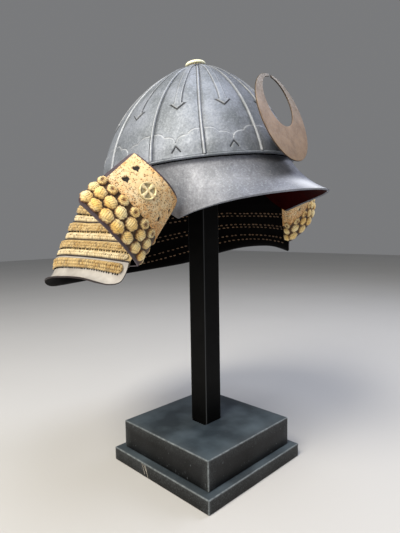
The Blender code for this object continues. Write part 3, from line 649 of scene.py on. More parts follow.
def bowl_plate(number, iron, lining):
    """One iron plate: the rib along its front edge, then its panel with the arrow, cloud and chevron."""
    ribs = SIDE_RIBS + [360 - angle for angle in reversed(SIDE_RIBS)] + [360 + SIDE_RIBS[0]]
    start, end = np.radians(ribs[number:number + 2])
    middle = (start + end) / 2
    shares = np.linspace(1, 0, 400)
    lengths = lengths_along(bowl(shares, middle)) / MM
    ups = np.minimum(plate_rows(), lengths[-1])[:, None]
    share = np.interp(lengths[-1] - ups, lengths, shares)
    share[0] = 1.0
    # The angle that spans a metre at each row, at the plate's two edges and its middle.
    step = 0.01
    at_start, at_middle, at_end = (
        step / np.linalg.norm(bowl(share, edge + step) - bowl(share, edge), axis=-1)
        for edge in (start, middle, end))
    taper = 1 - RIB_TAPER * share
    rib = np.linspace(-1, 1, RIB_COLUMNS)
    rib_angles = start + rib * RIB_HALF_WIDTH * taper * at_start
    foot = rib_angles[:, -1:]
    panel_angles = foot + (end - (RIB_HALF_WIDTH * taper + GAP) * at_end - foot) * plate_columns()[1:]
    angles = np.concatenate([rib_angles, panel_angles], axis=1)
    spare = (angles.shape[1] - 1) % PLATE_STRIDE
    angles = np.delete(angles, np.arange(RIB_COLUMNS + 1, RIB_COLUMNS + 1 + spare), axis=1)
    aside = np.abs(angles - middle) / ((end - start) / 2)
    height, painted_shade, painted_highlight = plate_relief((angles - middle) / at_middle / MM, ups * np.ones_like(angles), aside)
    lift = height * MM
    lift[:, :RIB_COLUMNS] = RIB_HEIGHT * taper * (1 - rib ** 2)
    # Painted highlight along each rib's crest, and painted shade at the rib's far foot and on the panel
    # beside it.
    painted_highlight[:, :RIB_COLUMNS] = RIB_PAINTED_HIGHLIGHT * (1 - rib ** 2)
    painted_shade = np.maximum(painted_shade, 0.9 * near((angles - foot) / at_start / MM, 1.0))
    painted_shade[:, :RIB_COLUMNS] = RIB_PAINTED_SHADE
    # Painted shadow of the crest across the bowl's front, and painted shade on the lower plates behind each
    # flap.
    shaded_front = 0.6 * near(np.sin(angles / 2), 0.20)
    shade_behind_flap = 0.85 * near(np.cos(angles) + 0.80, 0.13) * smooth_step((share - 0.42) / 0.3)
    painted_shade = np.maximum(painted_shade, np.maximum(shaded_front, shade_behind_flap))
    base = bowl(share, angles)
    outer, inner = raised(base, lift), raised(base, -PLATE_THICKNESS)
    outer[-1, :, 2] = inner[-1, :, 2] = 0.0
    name = f"bowl_plate_{number + 1:02d}"
    seat(sheet_piece(f"{name}_forged", outer, inner, [iron, lining, iron],
                     marks={"painted_shade": painted_shade, "painted_highlight": painted_highlight}, stride=PLATE_STRIDE), "bowl_iron", name)


def rim_lip(iron):
    """The turned lip round the rim, with a rounded edge."""
    turn = np.linspace(0, 2 * math.pi, 240, endpoint=False)
    round_edge = [(0.6 + math.cos(a), -1.3 + math.sin(a)) for a in np.linspace(-math.pi / 2, math.pi / 2, 9)]
    profile = [(-3.6, -2.3)] + round_edge + [(-3.6, -0.3)]
    points = np.array([oval(RIM_HALF_WIDTH + out * MM, RIM_HALF_LENGTH + out * MM, turn, up * MM)
                       for out, up in profile])
    corners = np.arange(points[..., 0].size).reshape(points.shape[:2])
    after = np.roll(corners, -1, axis=1)
    faces = np.stack([corners, after, np.roll(after, -1, axis=0), np.roll(corners, -1, axis=0)], axis=-1)
    body = (points.reshape(-1, 3), faces.reshape(-1, 4).tolist())
    solid_piece("rim_lip_turned", [body], iron, "bowl_iron", "rim_lip")


def crown_pieces(iron, brass, ivory):
    """The iron ring over the crown hole, its ring of brass petals, and the ivory-lacquered cap."""
    petals = [round_body(PETAL_RING, 96)]
    for petal in range(8):
        for way in (-1, 1):
            turn = 2 * math.pi * petal / 8 + way * PETALS_APART
            points, faces = round_body(PETAL, 12)
            spot = np.array((PETALS_OUT * math.cos(turn), PETALS_OUT * math.sin(turn), PETALS_UP))
            petals.append((points + spot * MM, faces))
    at = np.array((0.0, -CROWN_FORWARD, BOWL_HEIGHT))
    for name, bodies, finish, slot, node in (
        ("crown_ring", [round_body(CROWN_RING, 96)], iron, "crown_brass", "crown_base"),
        ("crown_petal_ring", petals, brass, "crown_brass", "crown_petals"),
        ("crown_cap_lacquered", [round_body(CROWN_CAP, 96)], ivory, "crown_cap", "crown_cap"),
    ):
        solid_piece(name, [(points + at, faces) for points, faces in bodies], finish, slot, node)


# ---------------------------------------------------------------- visor


def visor(iron, red):
    """The flared iron peak: red-lacquered underneath, but for unlacquered iron along its edge, rolled thin.
    """
    share = np.linspace(0, 1, VISOR_ROWS + 1)[:, None]
    angle = np.radians(np.linspace(-VISOR_HALF_ANGLE, VISOR_HALF_ANGLE, VISOR_COLUMNS + 1))[None, :]
    top = oval(RIM_HALF_WIDTH - VISOR_TUCK, RIM_HALF_LENGTH - VISOR_TUCK, angle, VISOR_TOP)
    edge_height = VISOR_EDGE_DROP + VISOR_EDGE_RISE * np.cos(angle) + VISOR_EDGE_WAVE * np.cos(2 * angle)
    edge = oval(VISOR_EDGE_HALF_WIDTH, VISOR_EDGE_REACH, angle, edge_height, VISOR_EDGE_BACK)
    waist = top + (edge - top) * np.array((VISOR_WAIST, VISOR_WAIST, VISOR_WAIST_DROP))
    part = share[..., None]
    points = (top * (1 - part) + waist * part) * (1 - part) + (waist * (1 - part) + edge * part) * part
    bead = 0.5 * MM * near(share - 0.985, 0.02)
    # Painted shadow of the crest over the peak's middle and painted shade on its flanks; painted highlights
    # toward the tip and on each side.
    painted_shade = np.maximum(0.6 * near(angle, 0.38) * smooth_step((0.74 - share) / 0.35),
                      0.3 * near(np.abs(angle) - 1.20, 0.25))
    painted_highlight = (0.8 * near(angle, 0.20) * smooth_step((share - 0.5) / 0.3)
            + 0.16 * near(np.abs(angle) - 0.78, 0.20) * near(share - 0.45, 0.3))
    piece = sheet_piece("visor_forged", raised(points, bead), raised(points, -VISOR_THICKNESS),
                        [iron, red, iron], marks={"painted_shade": painted_shade, "painted_highlight": painted_highlight})
    faces = VISOR_ROWS * VISOR_COLUMNS
    for face in piece.data.polygons[2 * faces - VISOR_BARE_ROWS * VISOR_COLUMNS:2 * faces]:
        face.material_index = 0
    seat(piece, "visor_iron", "visor")


# ---------------------------------------------------------------- neck guard


def at_share(size, share):
    return size[0] + size[1] * share


def through(table, place):
    """Values on the smooth curve through a table of (place, value) rows."""
    spots, values = np.array(table).T
    last = len(table) - 2
    row = np.clip(np.searchsorted(spots, place, side="right") - 1, 0, last)
    before, after = np.maximum(row - 1, 0), np.minimum(row + 2, last + 1)
    first = (values[row + 1] - values[before]) / (spots[row + 1] - spots[before])
    second = (values[after] - values[row]) / (spots[after] - spots[row])
    width = spots[row + 1] - spots[row]
    part = np.clip((place - spots[row]) / width, 0.0, 1.0)
    return (values[row] + (values[row + 1] - values[row]) * smooth_step(part)
            + width * part * (1 - part) ** 2 * first - width * part * part * (1 - part) * second)


def guard(share, angle, out):
    """Points of the neck guard; arrays of share, angle in radians and distance outwards."""
    ahead = np.cos(angle) > 0
    half_length = np.where(ahead, at_share(GUARD_AHEAD, share), at_share(GUARD_BEHIND, share)) + out
    height = at_share(GUARD_HEIGHT, share) + at_share(GUARD_TILT, share) * np.cos(angle)
    height = height + at_share(GUARD_WAVE, share) * np.cos(2 * angle)
    from_front = np.abs((np.degrees(angle) + 180) % 360 - 180)
    part = np.clip((share - LAME_TOPS[-1]) / (1 - LAME_TOPS[-1]), 0, None)
    height = height + (through(SKIRT_EDGE, from_front) - height) * part
    return oval(at_share(GUARD_HALF_WIDTH, share) + out, half_length, angle, height,
                at_share(GUARD_MIDDLE, share))


def front_angle(share):
    """How many degrees from the front the guard ends at a share, its lower corners being rounded."""
    past = np.clip((share - SKIRT_CORNER_START) / (1 - SKIRT_CORNER_START), 0, 1)
    return at_share(GUARD_FRONT_ANGLE, share) + SKIRT_CORNER_ANGLE * (1 - np.sqrt(1 - past * past))


def sweep(start, steps):
    """Angles round the guard from this many degrees at its left front to as many at its right."""
    start = np.radians(start)
    return start + (2 * math.pi - 2 * start) * np.linspace(0, 1, steps + 1)


def lame_out(number, part):
    """How far a lame stands out of the guard's even slope at this part of the way down it."""
    if number == len(LAME_TOPS) - 1:
        return LAME_STEP_OUT * (1 - part) ** 2 + SKIRT_FLARE * part ** 3 - SKIRT_HOLLOW * part * (1 - part)
    return LAME_STEP_OUT - (LAME_STEP_IN + LAME_STEP_OUT) * part


def lame_depth(number):
    """The share of the guard that a lame covers, its overlap with the next one included."""
    if number == len(LAME_TOPS) - 1:
        return 1 - LAME_TOPS[number]
    return LAME_TOPS[number + 1] + LAME_OVERLAP - LAME_TOPS[number]


def lame_grid(number, parts, steps, lift=0.0, short=0.0):
    """A grid on a lame: rows at these parts of the way down it, columns from the left front to the right."""
    part = np.asarray(parts)
    part = part[:, None] if part.ndim == 1 else part
    share = LAME_TOPS[number] + lame_depth(number) * part
    return guard(share, sweep(front_angle(share) + short, steps), lame_out(number, part) + lift)


def hanging_grid(parts, steps):
    """The first lame, which hangs from the rim just under its lip."""
    top = oval(RIM_HALF_WIDTH + HANGING_OUT, RIM_HALF_LENGTH + HANGING_OUT,
               sweep(HANGING_FRONT_ANGLE, steps), HANGING_Z)
    share = LAME_TOPS[1] + LAME_OVERLAP
    bottom = guard(share, sweep(front_angle(share) + FIRST_LAME_SHORT, steps), -LAME_STEP_IN)
    part = parts[:, None, None]
    return top * (1 - part) + bottom * part


def lame(number, edge, face, skirt, inside):
    """One lame: a top edge painted dark as its shade, its face, and on the last a soft roll along its foot.
    """
    last = number == len(LAME_TOPS) - 1
    if number == 0:
        parts = np.linspace(0, 1, 13)
        points = hanging_grid(parts, LAME_STEPS)
    else:
        parts = np.concatenate([[0, 0.036 if last else 0.055], np.linspace(0.08, 1, 25)])
        points = lame_grid(number, parts, LAME_STEPS)
    roll = 0.5 * MM * near(parts - 0.985, 0.03) * last
    own = np.zeros((len(parts) - 1, LAME_STEPS), int)
    own[0] = 2 if number else 0
    piece = sheet_piece(f"neck_lame_{number + 1}_lacquered", raised(points, roll[:, None]),
                        raised(points, -LAME_THICKNESS), [skirt if last else face, inside, edge], own,
                        stride=2, smooth_angle=50.0)
    seat(piece, "skirt_iron" if last else "lame_lacquer", f"neck_lame_{number + 1}")


def woven_strip(name, number, span, weave, silk, *nodes):
    """A strip of plaited lace along a lame: staggered courses of slanting stitches, each a little its own."""
    courses, pitch, rise, swell = weave
    middle = sum(span) / 2
    along = lengths_along(lame_grid(number, [middle], LACING_STEPS, 0.0, LACING_SHORT)[0]) / MM
    to_end = np.minimum(along, along[-1] - along) / LACING_END
    squeeze = np.maximum(np.sqrt(np.clip(1 - (1 - np.clip(to_end, 0, 1)) ** 2, 0, 1)), 0.12)
    down = np.linspace(0, 1, 6 * courses + 1)[:, None]
    parts = middle + (down - 0.5) * (span[1] - span[0]) * squeeze
    base = lame_grid(number, parts, LACING_STEPS, GAP, LACING_SHORT)
    course = np.minimum((down * courses).astype(int), courses - 1)
    within = np.clip(down * courses - course, 0, 1) - 0.5
    lean = 1 - 2 * (course % 2)
    phase = along / pitch + 0.5 * (course % 2) + 0.45 * (within + 0.5) * lean + 1
    cell = phase.astype(int)
    plump, tone = (RANDOM.random((courses, int(phase.max()) + 2))[course * np.ones_like(cell), cell]
                   for _ in range(2))
    beside = (phase % 1.0) - 0.5
    bead = np.sqrt(np.clip(1 - (beside / 0.5) ** 2 * 0.95 - (within / 0.5) ** 2 * 0.55, 0, 1))
    edge = smooth_step(np.minimum(down, 1 - down) * courses / 0.35)
    height = 0.15 + rise * bead * (0.45 + 0.75 * plump) * (0.35 + 0.65 * edge) + swell * np.sin(np.pi * down)
    # Painted shade in the hollows between the stitches; the few darker stitches are their own tone.
    hollow = np.clip(0.95 - 1.35 * bead * (0.65 + 0.5 * plump), 0, 0.9)
    marks = {"hollow": np.maximum(hollow, 0.55 * (tone > 0.86)), "strand": 0.9 * tone ** 1.5}
    piece = sheet_piece(name, raised(base, height * MM), base, [silk] * 3, marks=marks, stride=2,
                        smooth_angle=70.0)
    seat(piece, "lacing_cord", *nodes)


def dot(width, tall, thick):
    """A small flat-backed pip in mm, 8 sides round, lying in X and Y and rising along Z."""
    points, faces = round_body([(0.0, 0.0), (1.0, 0.0), (0.8, 0.7), (0.0, 1.0)], 8)
    return points * np.array((width / 2, tall / 2, thick)), faces


def laid_along(lines, facing, pitch_mm, body, jitter):
    """Copies of a small body every pitch along the middle of three lines on a surface.

    Each is turned to lie on the surface there: on its outside where facing is 1, on its inside where -1.
    """
    line, outwards, downwards = lines[1], facing * grid_normals(lines)[1], unit(lines[2] - lines[0])
    lengths = lengths_along(line)
    count = int(lengths[-1] / (pitch_mm * MM))
    bodies = []
    for index in range(count):
        spot = (index + 0.5 + jitter * (RANDOM.random() - 0.5)) * lengths[-1] / count
        at = np.array([np.interp(spot, lengths, line[:, axis]) for axis in range(3)])
        nearest = min(int(np.searchsorted(lengths, spot)), len(line) - 1)
        out, down = outwards[nearest], downwards[nearest]
        bodies.append((body[0] @ np.stack([np.cross(down, out), -down, out]) + at, body[1]))
    return joined(bodies)


def lace_holes(dark):
    """The dark slits where the lace goes in under each band, and the few larger holes in the rolls."""
    bodies = []
    for number in (1, 2, 3, 4):
        for part, lift, pitch, pip, jitter in (
            (LACING_SPANS[number][1] + 0.012, 0.35, 3.1, (1.5, 2.5, 0.5), 0.5),
            (0.66, 1.55, 19.0, (2.2, 1.8, 0.6), 0.9),
        )[:2 if number < 4 else 1]:
            lines = lame_grid(number, (part - 0.002, part, part + 0.002), 400, lift * MM, LACING_SHORT + 0.6)
            bodies.append(laid_along(lines, 1, pitch, dot(*pip), jitter))
    solid_piece("lace_holes", bodies, dark, "lame_lacquer")


def inside_stitches(silk):
    """The lacing's stitches that show inside the guard, in pairs of rows along each joint of two lames."""
    bodies = []
    for number in (2, 3, 4):
        upper, lower = LAME_TOPS[number] + 0.018, LAME_TOPS[number] + LAME_OVERLAP + 0.034
        below = lame_out(number, (lower - LAME_TOPS[number]) / lame_depth(number))
        for share, out in ((upper, -LAME_STEP_IN), (lower, below)):
            shares = share + np.array((-0.004, 0.0, 0.004))[:, None]
            lines = guard(shares, sweep(front_angle(share) + 3.0, 399), out - LAME_THICKNESS - 0.1 * MM)
            bodies.append(laid_along(lines, -1, 7.4, dot(4.3, 2.1, 1.1), 0.3))
    solid_piece("inside_stitches", bodies, silk, "lacing_cord")


# ---------------------------------------------------------------- flaps


def flap(across, down):
    """Points of the left flap's front face; arrays of how far across from the fold and how far down."""
    across, down = (value[..., None] for value in np.broadcast_arrays(across, down))
    facing = np.cross(FLAP_LOW_CORNER - FOLD_BOTTOM, FOLD_TOP - FOLD_BOTTOM)
    facing = unit(facing) * (-1 if facing[1] > 0 else 1)
    fold = FOLD_TOP + (FOLD_BOTTOM - FOLD_TOP) * down
    end = FLAP_HIGH_CORNER + (FLAP_LOW_CORNER - FLAP_HIGH_CORNER) * down
    return fold + (end - fold) * across + facing * 4 * FLAP_BULGE * across * (1 - across)


def folded(across, down):
    """The flap's face carried round the fold: across below 0 runs back along its return, 1 being 100 mm."""
    points = flap(np.maximum(across, 0), down)
    points[..., 1] -= np.minimum(across, 0) * 0.1
    return points


def on_flap(points, faces, across, down, lift, side):
    """A flat-backed body laid on the left flap this high above its face, or mirrored for the right flap."""
    step = 0.01
    here = folded(across, down)
    along = unit(folded(across + step, down) - here)
    out = unit(np.cross(unit(folded(across, down + step) - here), along))
    points = points @ np.stack([-along, np.cross(along, out), out]) + here + out * lift
    return points * np.array((side, 1.0, 1.0)), faces if side > 0 else [face[::-1] for face in faces]


def flap_end(down):
    """How far across the flap reaches at each place down it, with its outer corners rounded."""
    past = np.maximum(FLAP_CORNER_DOWN - down, down - 1 + FLAP_CORNER_DOWN).clip(0) / FLAP_CORNER_DOWN
    return 1 - FLAP_CORNER_ACROSS * (1 - np.sqrt(1 - past * past))


def corner_cut(across, down):
    """Moves places down the flap where its top corner at the fold is rounded off."""
    past = np.clip((FOLD_CORNER - across) / FOLD_CORNER, 0, 1)
    start = FOLD_CORNER * (1 - np.sqrt(1 - past ** 2))
    return start + (1 - start) * down


def flap_sheet(name, outer, inner, finishes, side, own_finish=None, marks=None, stride=1):
    """A sheet of a flap; for the right one it is mirrored, and its columns run the other way."""
    if side < 0:
        outer, inner = (grid[:, ::-1] * np.array((side, 1.0, 1.0)) for grid in (outer, inner))
        own_finish = None if own_finish is None else own_finish[:, ::-1]
        marks = {mark: values[:, ::-1] for mark, values in (marks or {}).items()}
    return sheet_piece(name, outer, inner, finishes, own_finish, marks, stride)


def flap_plate(word, side, iron, black):
    """The flap's iron plate, with the return that runs back inside the lames."""
    ends = np.linspace(0, 0.1, 9)
    down = np.concatenate([ends, np.linspace(0.1, 0.9, 25)[1:-1], 0.9 + ends])[:, None]
    out = np.concatenate([FOLD_BACK * np.ones_like(down), np.linspace(0, 1, 41) * flap_end(down)], axis=1)
    points = folded(out, corner_cut(out, down))
    own = np.zeros((points.shape[0] - 1, points.shape[1] - 1), int)
    own[:, :len(FOLD_BACK)] = 1
    piece = flap_sheet(f"flap_plate_{word}_lacquered", points, raised(points, -FLAP_THICKNESS),
                       [iron, black, iron], side, own)
    seat(piece, "flap_iron", f"flap_plate_{word}")


def heart(across_mm, down_mm):
    """How far inside a heart-shaped hole a place is, in mm; its point is towards the fold and lower."""
    along = -0.89 * across_mm + 0.45 * down_mm
    aside = np.abs(0.45 * across_mm + 0.89 * down_mm)
    lobes = 1.75 - np.hypot(aside - 1.5, along + 0.9)
    return np.maximum((3.1 - along) * 0.68 - aside + np.minimum((along + 1.3) * 3, 0), lobes)


def flap_leather(word, side, leather):
    """The leather on the flap: it wraps the fold, with two heart-shaped holes and two eyelets in it."""
    down = np.linspace(*LEATHER_DOWN, 109)[:, None]
    across = np.append(np.linspace(-0.112, LEATHER_ACROSS[0], 13)[:-1], np.linspace(*LEATHER_ACROSS, 145))
    base = folded(across, corner_cut(across, down))
    width = np.linalg.norm(flap(1.0, 0.3) - flap(0.0, 0.3)) / MM * 1.13
    length = np.linalg.norm(FOLD_BOTTOM - FOLD_TOP) / MM
    inside = np.full(base.shape[:2], -9.0)
    ring = np.zeros(base.shape[:2])
    for at_across, at_down in HEART_HOLES:
        inside = np.maximum(inside, heart((across - at_across) * width, (down - at_down) * length))
    for at_across, at_down in EYELETS:
        away = np.hypot((across - at_across) * width, (down - at_down) * length)
        inside = np.maximum(inside, EYELET_RADIUS - away)
        ring = np.maximum(ring, near(away - EYELET_RING_RADIUS, 0.6))
    hole = smooth_step(inside / 0.5 + 0.5)
    to_side = np.minimum(across + 0.12, 0.985 - across) * width
    edge = np.minimum(to_side, np.minimum(down - 0.02, 0.58 - down) * length)
    soft = smooth_step(edge / 1.4 + 0.45)
    height = LEATHER_THICKNESS * (0.35 + 0.65 * soft) + (0.45 * ring - 1.1 * hole) * MM
    wear = (0.42 * np.clip(1.05 - across * 1.35, 0, 1) + 0.35 * np.clip((down - 0.36) * 5, 0, 1)
            + 0.6 * np.exp(-edge / 1.6))
    # The holes are marked for painted shade.
    piece = flap_sheet(f"flap_leather_{word}_smoked", raised(base, GAP / 2 + height), raised(base, GAP / 2),
                       [leather] * 3, side, marks={"painted_shade": hole, "wear": np.clip(wear, 0, 1)}, stride=4)
    seat(piece, "flap_leather", f"flap_leather_{word}")


def disc_grid(radii, spokes):
    """A disc's points in rings of these radii: how far out and at what turn each is, and its faces."""
    out = np.append(0.0, np.repeat(radii, spokes))
    turn = np.append(0.0, np.tile(2 * math.pi * np.arange(spokes) / spokes, len(radii)))
    faces = []
    for corner in range(1, len(out)):
        after = corner + 1 - spokes * (corner % spokes == 0)
        within = [0] if corner <= spokes else [corner - spokes]
        faces.append(within + [corner, after] + ([] if corner <= spokes else [after - spokes]))
    faces.append(list(range(len(out) - spokes, len(out)))[::-1])
    return out, turn, faces


def knot(half_long, half_wide, curled):
    """One laced knot over a flat back: three bundles of cord crossing, or a small curl with a sunk middle."""
    out, turn, faces = disc_grid(np.sin(math.pi / 2 * np.arange(1, 15) / 14), 48)
    x, y = out * np.cos(turn), out * np.sin(turn)
    lie = RANDOM.uniform(-0.5, 0.5)
    u, v = x * math.cos(lie) + y * math.sin(lie), y * math.cos(lie) - x * math.sin(lie)
    start = RANDOM.uniform(0, 6, 4)
    inner = np.cos(2 * math.pi * (3.4 * u + 0.6 * v + 0.5 * u * v) + start[0])
    outer = np.cos(2 * math.pi * (1.6 * u * np.sign(v) + 3.4 * v) + start[1])
    band = 0.50 + 0.10 * np.sin(3 * u + start[2])
    strands = np.where(np.abs(v) < band, inner, outer)
    seam = near(np.abs(v) - band, 0.07)
    lumps = np.zeros_like(out)
    for _ in range(6):
        at, size = RANDOM.uniform(-0.75, 0.75, 2), RANDOM.uniform(-0.10, 0.10)
        lumps += size * near(np.hypot(x - at[0], y - at[1]), 0.3)
    sunk = near(out, 0.42) * curled
    round_top = np.sqrt(np.clip(1 - out ** 2, 0, 1))
    height = round_top * (0.90 + 0.045 * strands + lumps - 0.05 * seam - 0.35 * sunk)
    ragged = 1 + 0.04 * np.cos(5 * turn + start[2]) + 0.04 * np.cos(11 * turn + start[3])
    points = np.stack([x * half_wide * ragged, y * half_long * ragged, height * KNOT_HEIGHT], axis=-1) * MM
    # Painted shade in the knot's creases and round its foot; the curled knots are also brown in their sunk
    # middles.
    hollow = np.clip(-0.08 - 0.55 * strands - 1.6 * lumps, 0, 0.6) + 0.35 * seam + 0.95 * out ** 8 + sunk
    return points, faces, np.clip(hollow, 0, 0.95)


def knot_rows(word, side, silk):
    """Three staggered rows of laced knots on the flap."""
    for number, (down, acrosses, half_long, half_wide) in enumerate(KNOT_ROWS):
        bodies, hollows = [], []
        for across in acrosses:
            if side > 0 and across > 0:
                across = acrosses[0] - (acrosses[0] - across) * LEFT_KNOT_SPREAD
            size = 0.94 + 0.12 * RANDOM.random()
            near_end = min(1.0, 0.62 + (1.0 - across) * 3.2) if across > 0 else 0.72
            points, faces, hollow = knot(half_long * size, half_wide * size * near_end, number == 0)
            spin = 0.35 * (RANDOM.random() - 0.5)
            points = points @ np.array(((math.cos(spin), math.sin(spin), 0),
                                        (-math.sin(spin), math.cos(spin), 0), (0, 0, 1)))
            bodies.append(on_flap(points, faces, across, down, GAP, side))
            hollows.append(hollow)
        strand = RANDOM.random(len(bodies)).repeat(len(hollows[0])) * 0.4
        solid_piece(f"knot_row_{word}_{number + 1}_laced", bodies, silk, "lacing_cord",
                    f"knot_row_{word}_{number + 1}", smooth_angle=60.0,
                    marks={"hollow": np.concatenate(hollows), "strand": strand})


def knot_bed(word, side, silk):
    """The cord that the knots sit on, coloured dark brown, which shows between them as painted shade."""
    down = np.linspace(*KNOT_BED_DOWN, 41)[:, None]
    across = np.linspace(*KNOT_BED_ACROSS, 117)
    base = folded(across, down)
    bumps = 0.45 + 0.25 * np.sin(across * 170 + 9 * down) * np.sin(down * 150)
    to_end = np.minimum(down - down[0], down[-1] - down) * 30
    edge = smooth_step(np.minimum(to_end, (across[-1] - across) * 40))
    piece = flap_sheet(f"knot_bed_{word}", raised(base, (0.15 + bumps * edge) * MM), base, [silk] * 3, side,
                       stride=4)
    seat(piece, "lacing_cord")


def boss(word, side, brass):
    """The round boss: a raised ring and a plain cross over four sunk quarters."""
    out, turn, faces = disc_grid(np.linspace(0.06, 1, 20), 72)
    x, y = out * np.cos(turn) * BOSS_RADIUS, out * np.sin(turn) * BOSS_RADIUS
    away = out * BOSS_RADIUS
    cross = smooth_step((1.10 - np.minimum(np.abs(x), np.abs(y)) / (0.55 + 0.20 * away)) * 2.5)
    ring = smooth_step((away - 6.3) / 0.7) * smooth_step((8.3 - away) / 0.9)
    high = np.maximum(np.maximum(cross * (away < 7.2), ring), smooth_step((1.9 - away) / 0.6))
    height = 0.9 + 1.25 * high + 0.12 * np.sin(x * 3.1) * np.sin(y * 3.3) * (1 - high)
    points = np.stack([x, y, np.where(away > 8.1, 0.2, height)], axis=-1) * MM
    body = on_flap(points, faces, *BOSS_AT, GAP + LEATHER_THICKNESS * 0.8, side)
    solid_piece(f"flap_boss_{word}_cast", [body], brass, "boss_brass", f"flap_boss_{word}",
                marks={"hollow": 0.6 * (1 - high) ** 2}, smooth_angle=50.0)


# ---------------------------------------------------------------- crest


def crest(bronze, edge_shade):
    """The crescent crest: a flat sheet with its edges eased, between two circles."""
    gap = math.radians(HORN_GAP_ANGLE)
    rows = []
    for depth, ease in ((0.0, CREST_EASE), (CREST_EASE, 0.0),
                        (CREST_THICKNESS - CREST_EASE, 0.0), (CREST_THICKNESS, CREST_EASE)):
        edges = []
        for radius, middle in ((CREST_RADIUS, 0.0), (CREST_HOLE_RADIUS, CREST_HOLE_UP)):
            opening = gap * CREST_RADIUS / radius
            turn = opening + (2 * math.pi - 2 * opening) * np.linspace(0, 1, CREST_STEPS + 1)
            edges.append(np.stack([radius * np.sin(turn), np.full(len(turn), depth * MM),
                                   middle + radius * np.cos(turn)], axis=-1))
        over = edges[1] - edges[0]
        eased = over * np.minimum(ease * MM / np.linalg.norm(over, axis=1), 0.25)[:, None]
        rows += [edges[0] + eased, edges[1] - eased]
    points = np.concatenate(rows) @ np.array(CREST_TURN).T + np.array(CREST_AT)
    # Round the sheet's section from the inner front edge; only the two cut edges keep the dark finish, which
    # paints their shade.
    order = [row * (CREST_STEPS + 1) for row in (1, 0, 2, 4, 6, 7, 5, 3)]
    faces, finish = [], []
    for first, second, kind in zip(order, order[1:] + order[:1], (0, 0, 1, 0, 0, 0, 1, 0)):
        for step in range(CREST_STEPS):
            faces.append([first + step, second + step, second + step + 1, first + step + 1])
            finish.append(kind)
    for step, turn in ((0, -1), (CREST_STEPS, 1)):
        faces.append([start + step for start in order][::turn])
        finish.append(1)
    seat(make_mesh("crest_crescent", points, faces, [bronze, edge_shade], finish, smooth_angle=30.0),
         "crest_bronze", "crest")


# ---------------------------------------------------------------- studio


def studio():
    """The camera, the pale floor and soft lights."""
    scene = bpy.context.scene
    scene.view_settings.view_transform = "Standard"
    camera = bpy.data.objects.new("camera", bpy.data.cameras.new("camera"))
    camera.data.sensor_fit = "HORIZONTAL"
    camera.data.sensor_width = 36.0
    camera.data.lens = 39.6
    camera.data.clip_start = 0.01
    turn, aim = math.radians(CAMERA_TURN), math.radians(CAMERA_TURN + CAMERA_ASIDE)
    place = (math.sin(turn) * CAMERA_DISTANCE, -math.cos(turn) * CAMERA_DISTANCE, CAMERA_HEIGHT)
    scene.collection.objects.link(camera)
    camera.matrix_world = (
        Matrix.Translation(place) @ Matrix.Rotation(aim, 4, "Z")
        @ Matrix.Rotation(math.radians(90 + CAMERA_TIP), 4, "X")
        @ Matrix.Rotation(math.radians(CAMERA_ROLL), 4, "Z"))
    scene.camera = camera

    corners = [(-4, -4, -0.0002), (4, -4, -0.0002), (4, 4, -0.0002), (-4, 4, -0.0002)]
    floor = make_mesh("floor", corners, [[0, 1, 2, 3]], [studio_paper()])

    world = bpy.data.worlds.new("studio")
    scene.world = world
    world.use_nodes = True
    world.node_tree.nodes["Background"].inputs["Color"].default_value = linear("#9C9D9F")
    world.node_tree.nodes["Background"].inputs["Strength"].default_value = 0.58
    for name, place, power, colour in (
        ("key", (-1.10, -0.20, 1.50), 33.0, "#FFF7E8"),
        ("side", (-1.45, -0.10, 0.60), 8.0, "#FFF4E4"),
        ("front", (-0.11, -1.31, 0.95), 3.0, "#F4F2FF"),
        ("top", (0.04, -0.18, 1.70), 6.0, "#E8F0FF"),
        ("behind", (0.99, -0.28, 1.30), 8.0, "#E8ECFF"),
    ):
        light = bpy.data.objects.new(name, bpy.data.lights.new(name, "AREA"))
        light.data.energy = power
        light.data.size = 0.7
        light.data.color = linear(colour)[:3]
        light.location = place
        light.rotation_euler = (Vector((0, 0, 0.35)) - Vector(place)).to_track_quat("-Z", "Y").to_euler()
        scene.collection.objects.link(light)


# ---------------------------------------------------------------- stand


def paint_solids(iron):
    """The stand and the crest's holder keep their own solids, which take their steel, paint and iron here."""
    # The upper plate gets fewer grey scuffs than the lower, which darkens its faces as painted shade.
    upper = blackened_steel("blackened_steel_upper", UPPER_SIDE / 2, LOWER_HEIGHT - 0.05, UPPER_TOP, 0.15)
    lower = blackened_steel("blackened_steel_lower", LOWER_SIDE / 2, -0.05, LOWER_HEIGHT, 0.55)
    paint = post_paint()
    for node, finish in (("stand_base_lower", lower), ("stand_base_upper", upper), ("stand_post", paint),
                         ("stand_pad", paint), ("crest_holder", iron)):
        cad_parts[node].data.materials.clear()
        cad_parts[node].data.materials.append(finish)


def stand_marks(scratched, weld):
    """Three slanted scratches on the lower plate's right side, and the weld along the foot of the post."""
    face = -LOWER_SIDE / 2 / MM - 0.05
    scratches = [(np.array([(face, *low), (face, low[0] + 0.9, low[1]), (face, high[0] + 0.7, high[1]),
                            (face, *high)]) * MM, [[0, 3, 2, 1]]) for low, high in SCRATCHES]
    solid_piece("stand_scratches", scratches, scratched, "stand_steel", placed=Matrix())
    beads = []
    for step in range(6):
        points, faces = dot(2.6, 4.2, 1.3)
        at = np.array((-POST_SIDE / 2 - 0.6 * MM, (3.6 * step - 9.5) * MM, UPPER_TOP))
        beads.append((points + at, faces))
    solid_piece("post_weld", beads, weld, "post_paint", placed=Matrix(), smooth_angle=80.0)


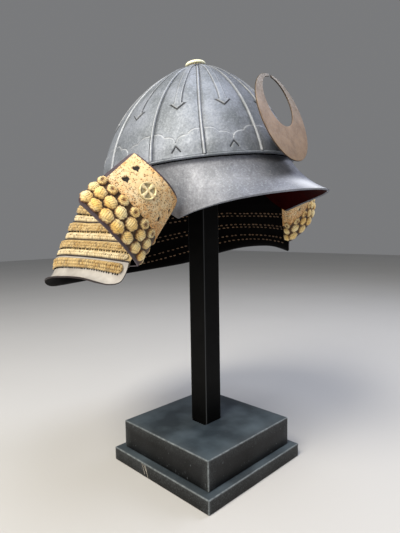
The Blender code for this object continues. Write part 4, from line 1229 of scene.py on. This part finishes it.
def main():
    studio()
    iron = burnished_iron("burnished_iron", "#70777F", "#8D94A0")
    # A darker copy of the bowl's iron for the visor: painted shade.
    shaded_peak_iron = burnished_iron("burnished_shaded_peak_iron", "#686C76", "#81858F")
    black = lacquer("black_urushi", "#020101", "#040303", 0.7, shine=0.03)
    red = lacquer("red_urushi", "#220202", "#2E0403", 0.6, shine=0.02)
    # Dark colour for cut edges and the lames' top strips: painted shade along the edges.
    edge = lacquer("edge_shade_urushi", "#1E1718", "#2C2224", 0.5)
    gold = lacquer("pale_gold_urushi", "#B89C68", "#D2BC8A", 0.60)
    grey = lacquer("grey_beige_urushi", "#98948F", "#B1AEA9", 0.50)
    flap_iron = lacquer("purple_brown_urushi", "#3A2E32", "#54454A", 0.42)
    ivory = lacquer("ivory_urushi", "#F2F0CA", "#FEFDE0", 0.40)
    silk = silk_lacing("old_gold_silk", "#9F7E43", "#CEB682", "#3C2812")
    pale_silk = silk_lacing("pale_silk", "#C2AA7C", "#E0D2AC", "#5C4224")
    knot_silk = silk_lacing("knotted_silk", "#F2C66A", "#FFF2BA", "#62300C")
    # Near black brown cord: painted shade in the gaps between the knots.
    shaded_bed_silk = silk_lacing("shaded_bed_silk", "#34240F", "#503A1C", "#150E06")
    # A darker copy of the lacing silk for the stitches inside the guard: painted shade.
    shaded_inner_silk = silk_lacing("shaded_inner_silk", "#5E4630", "#86684A", "#2A1C10")
    leather = smoked_leather()
    brass = pale_brass("boss_brass", "#D8C28E", "#FAECC2", 0.35)
    dull_brass = pale_brass("crown_brass", "#8A7C54", "#B8AA7C", 0.7)
    scratched = lacquer("bared_steel", "#9A958C", "#B8B2A8", 0.5)

    for number in range(12):
        bowl_plate(number, iron, black)
    rim_lip(iron)
    crown_pieces(iron, dull_brass, ivory)
    visor(shaded_peak_iron, red)
    for number in range(len(LAME_TOPS)):
        lame(number, edge, gold, grey, black)
        if number:
            woven_strip(f"lacing_band_{number + 1}_plaited", number, LACING_SPANS[number], BAND_WEAVE, silk,
                        f"lacing_band_{number + 1}")
        if number in (1, 2, 3):
            woven_strip(f"lacing_roll_{number + 1}_plaited", number, LACING_ROLL_SPAN, ROLL_WEAVE, pale_silk)
    lace_holes(black)
    inside_stitches(shaded_inner_silk)
    for word, side in (("left", 1), ("right", -1)):
        flap_plate(word, side, flap_iron, black)
        flap_leather(word, side, leather)
        knot_bed(word, side, shaded_bed_silk)
        knot_rows(word, side, knot_silk)
        boss(word, side, brass)
    crest(matt_bronze(), edge)
    paint_solids(iron)
    stand_marks(scratched, black)


main()
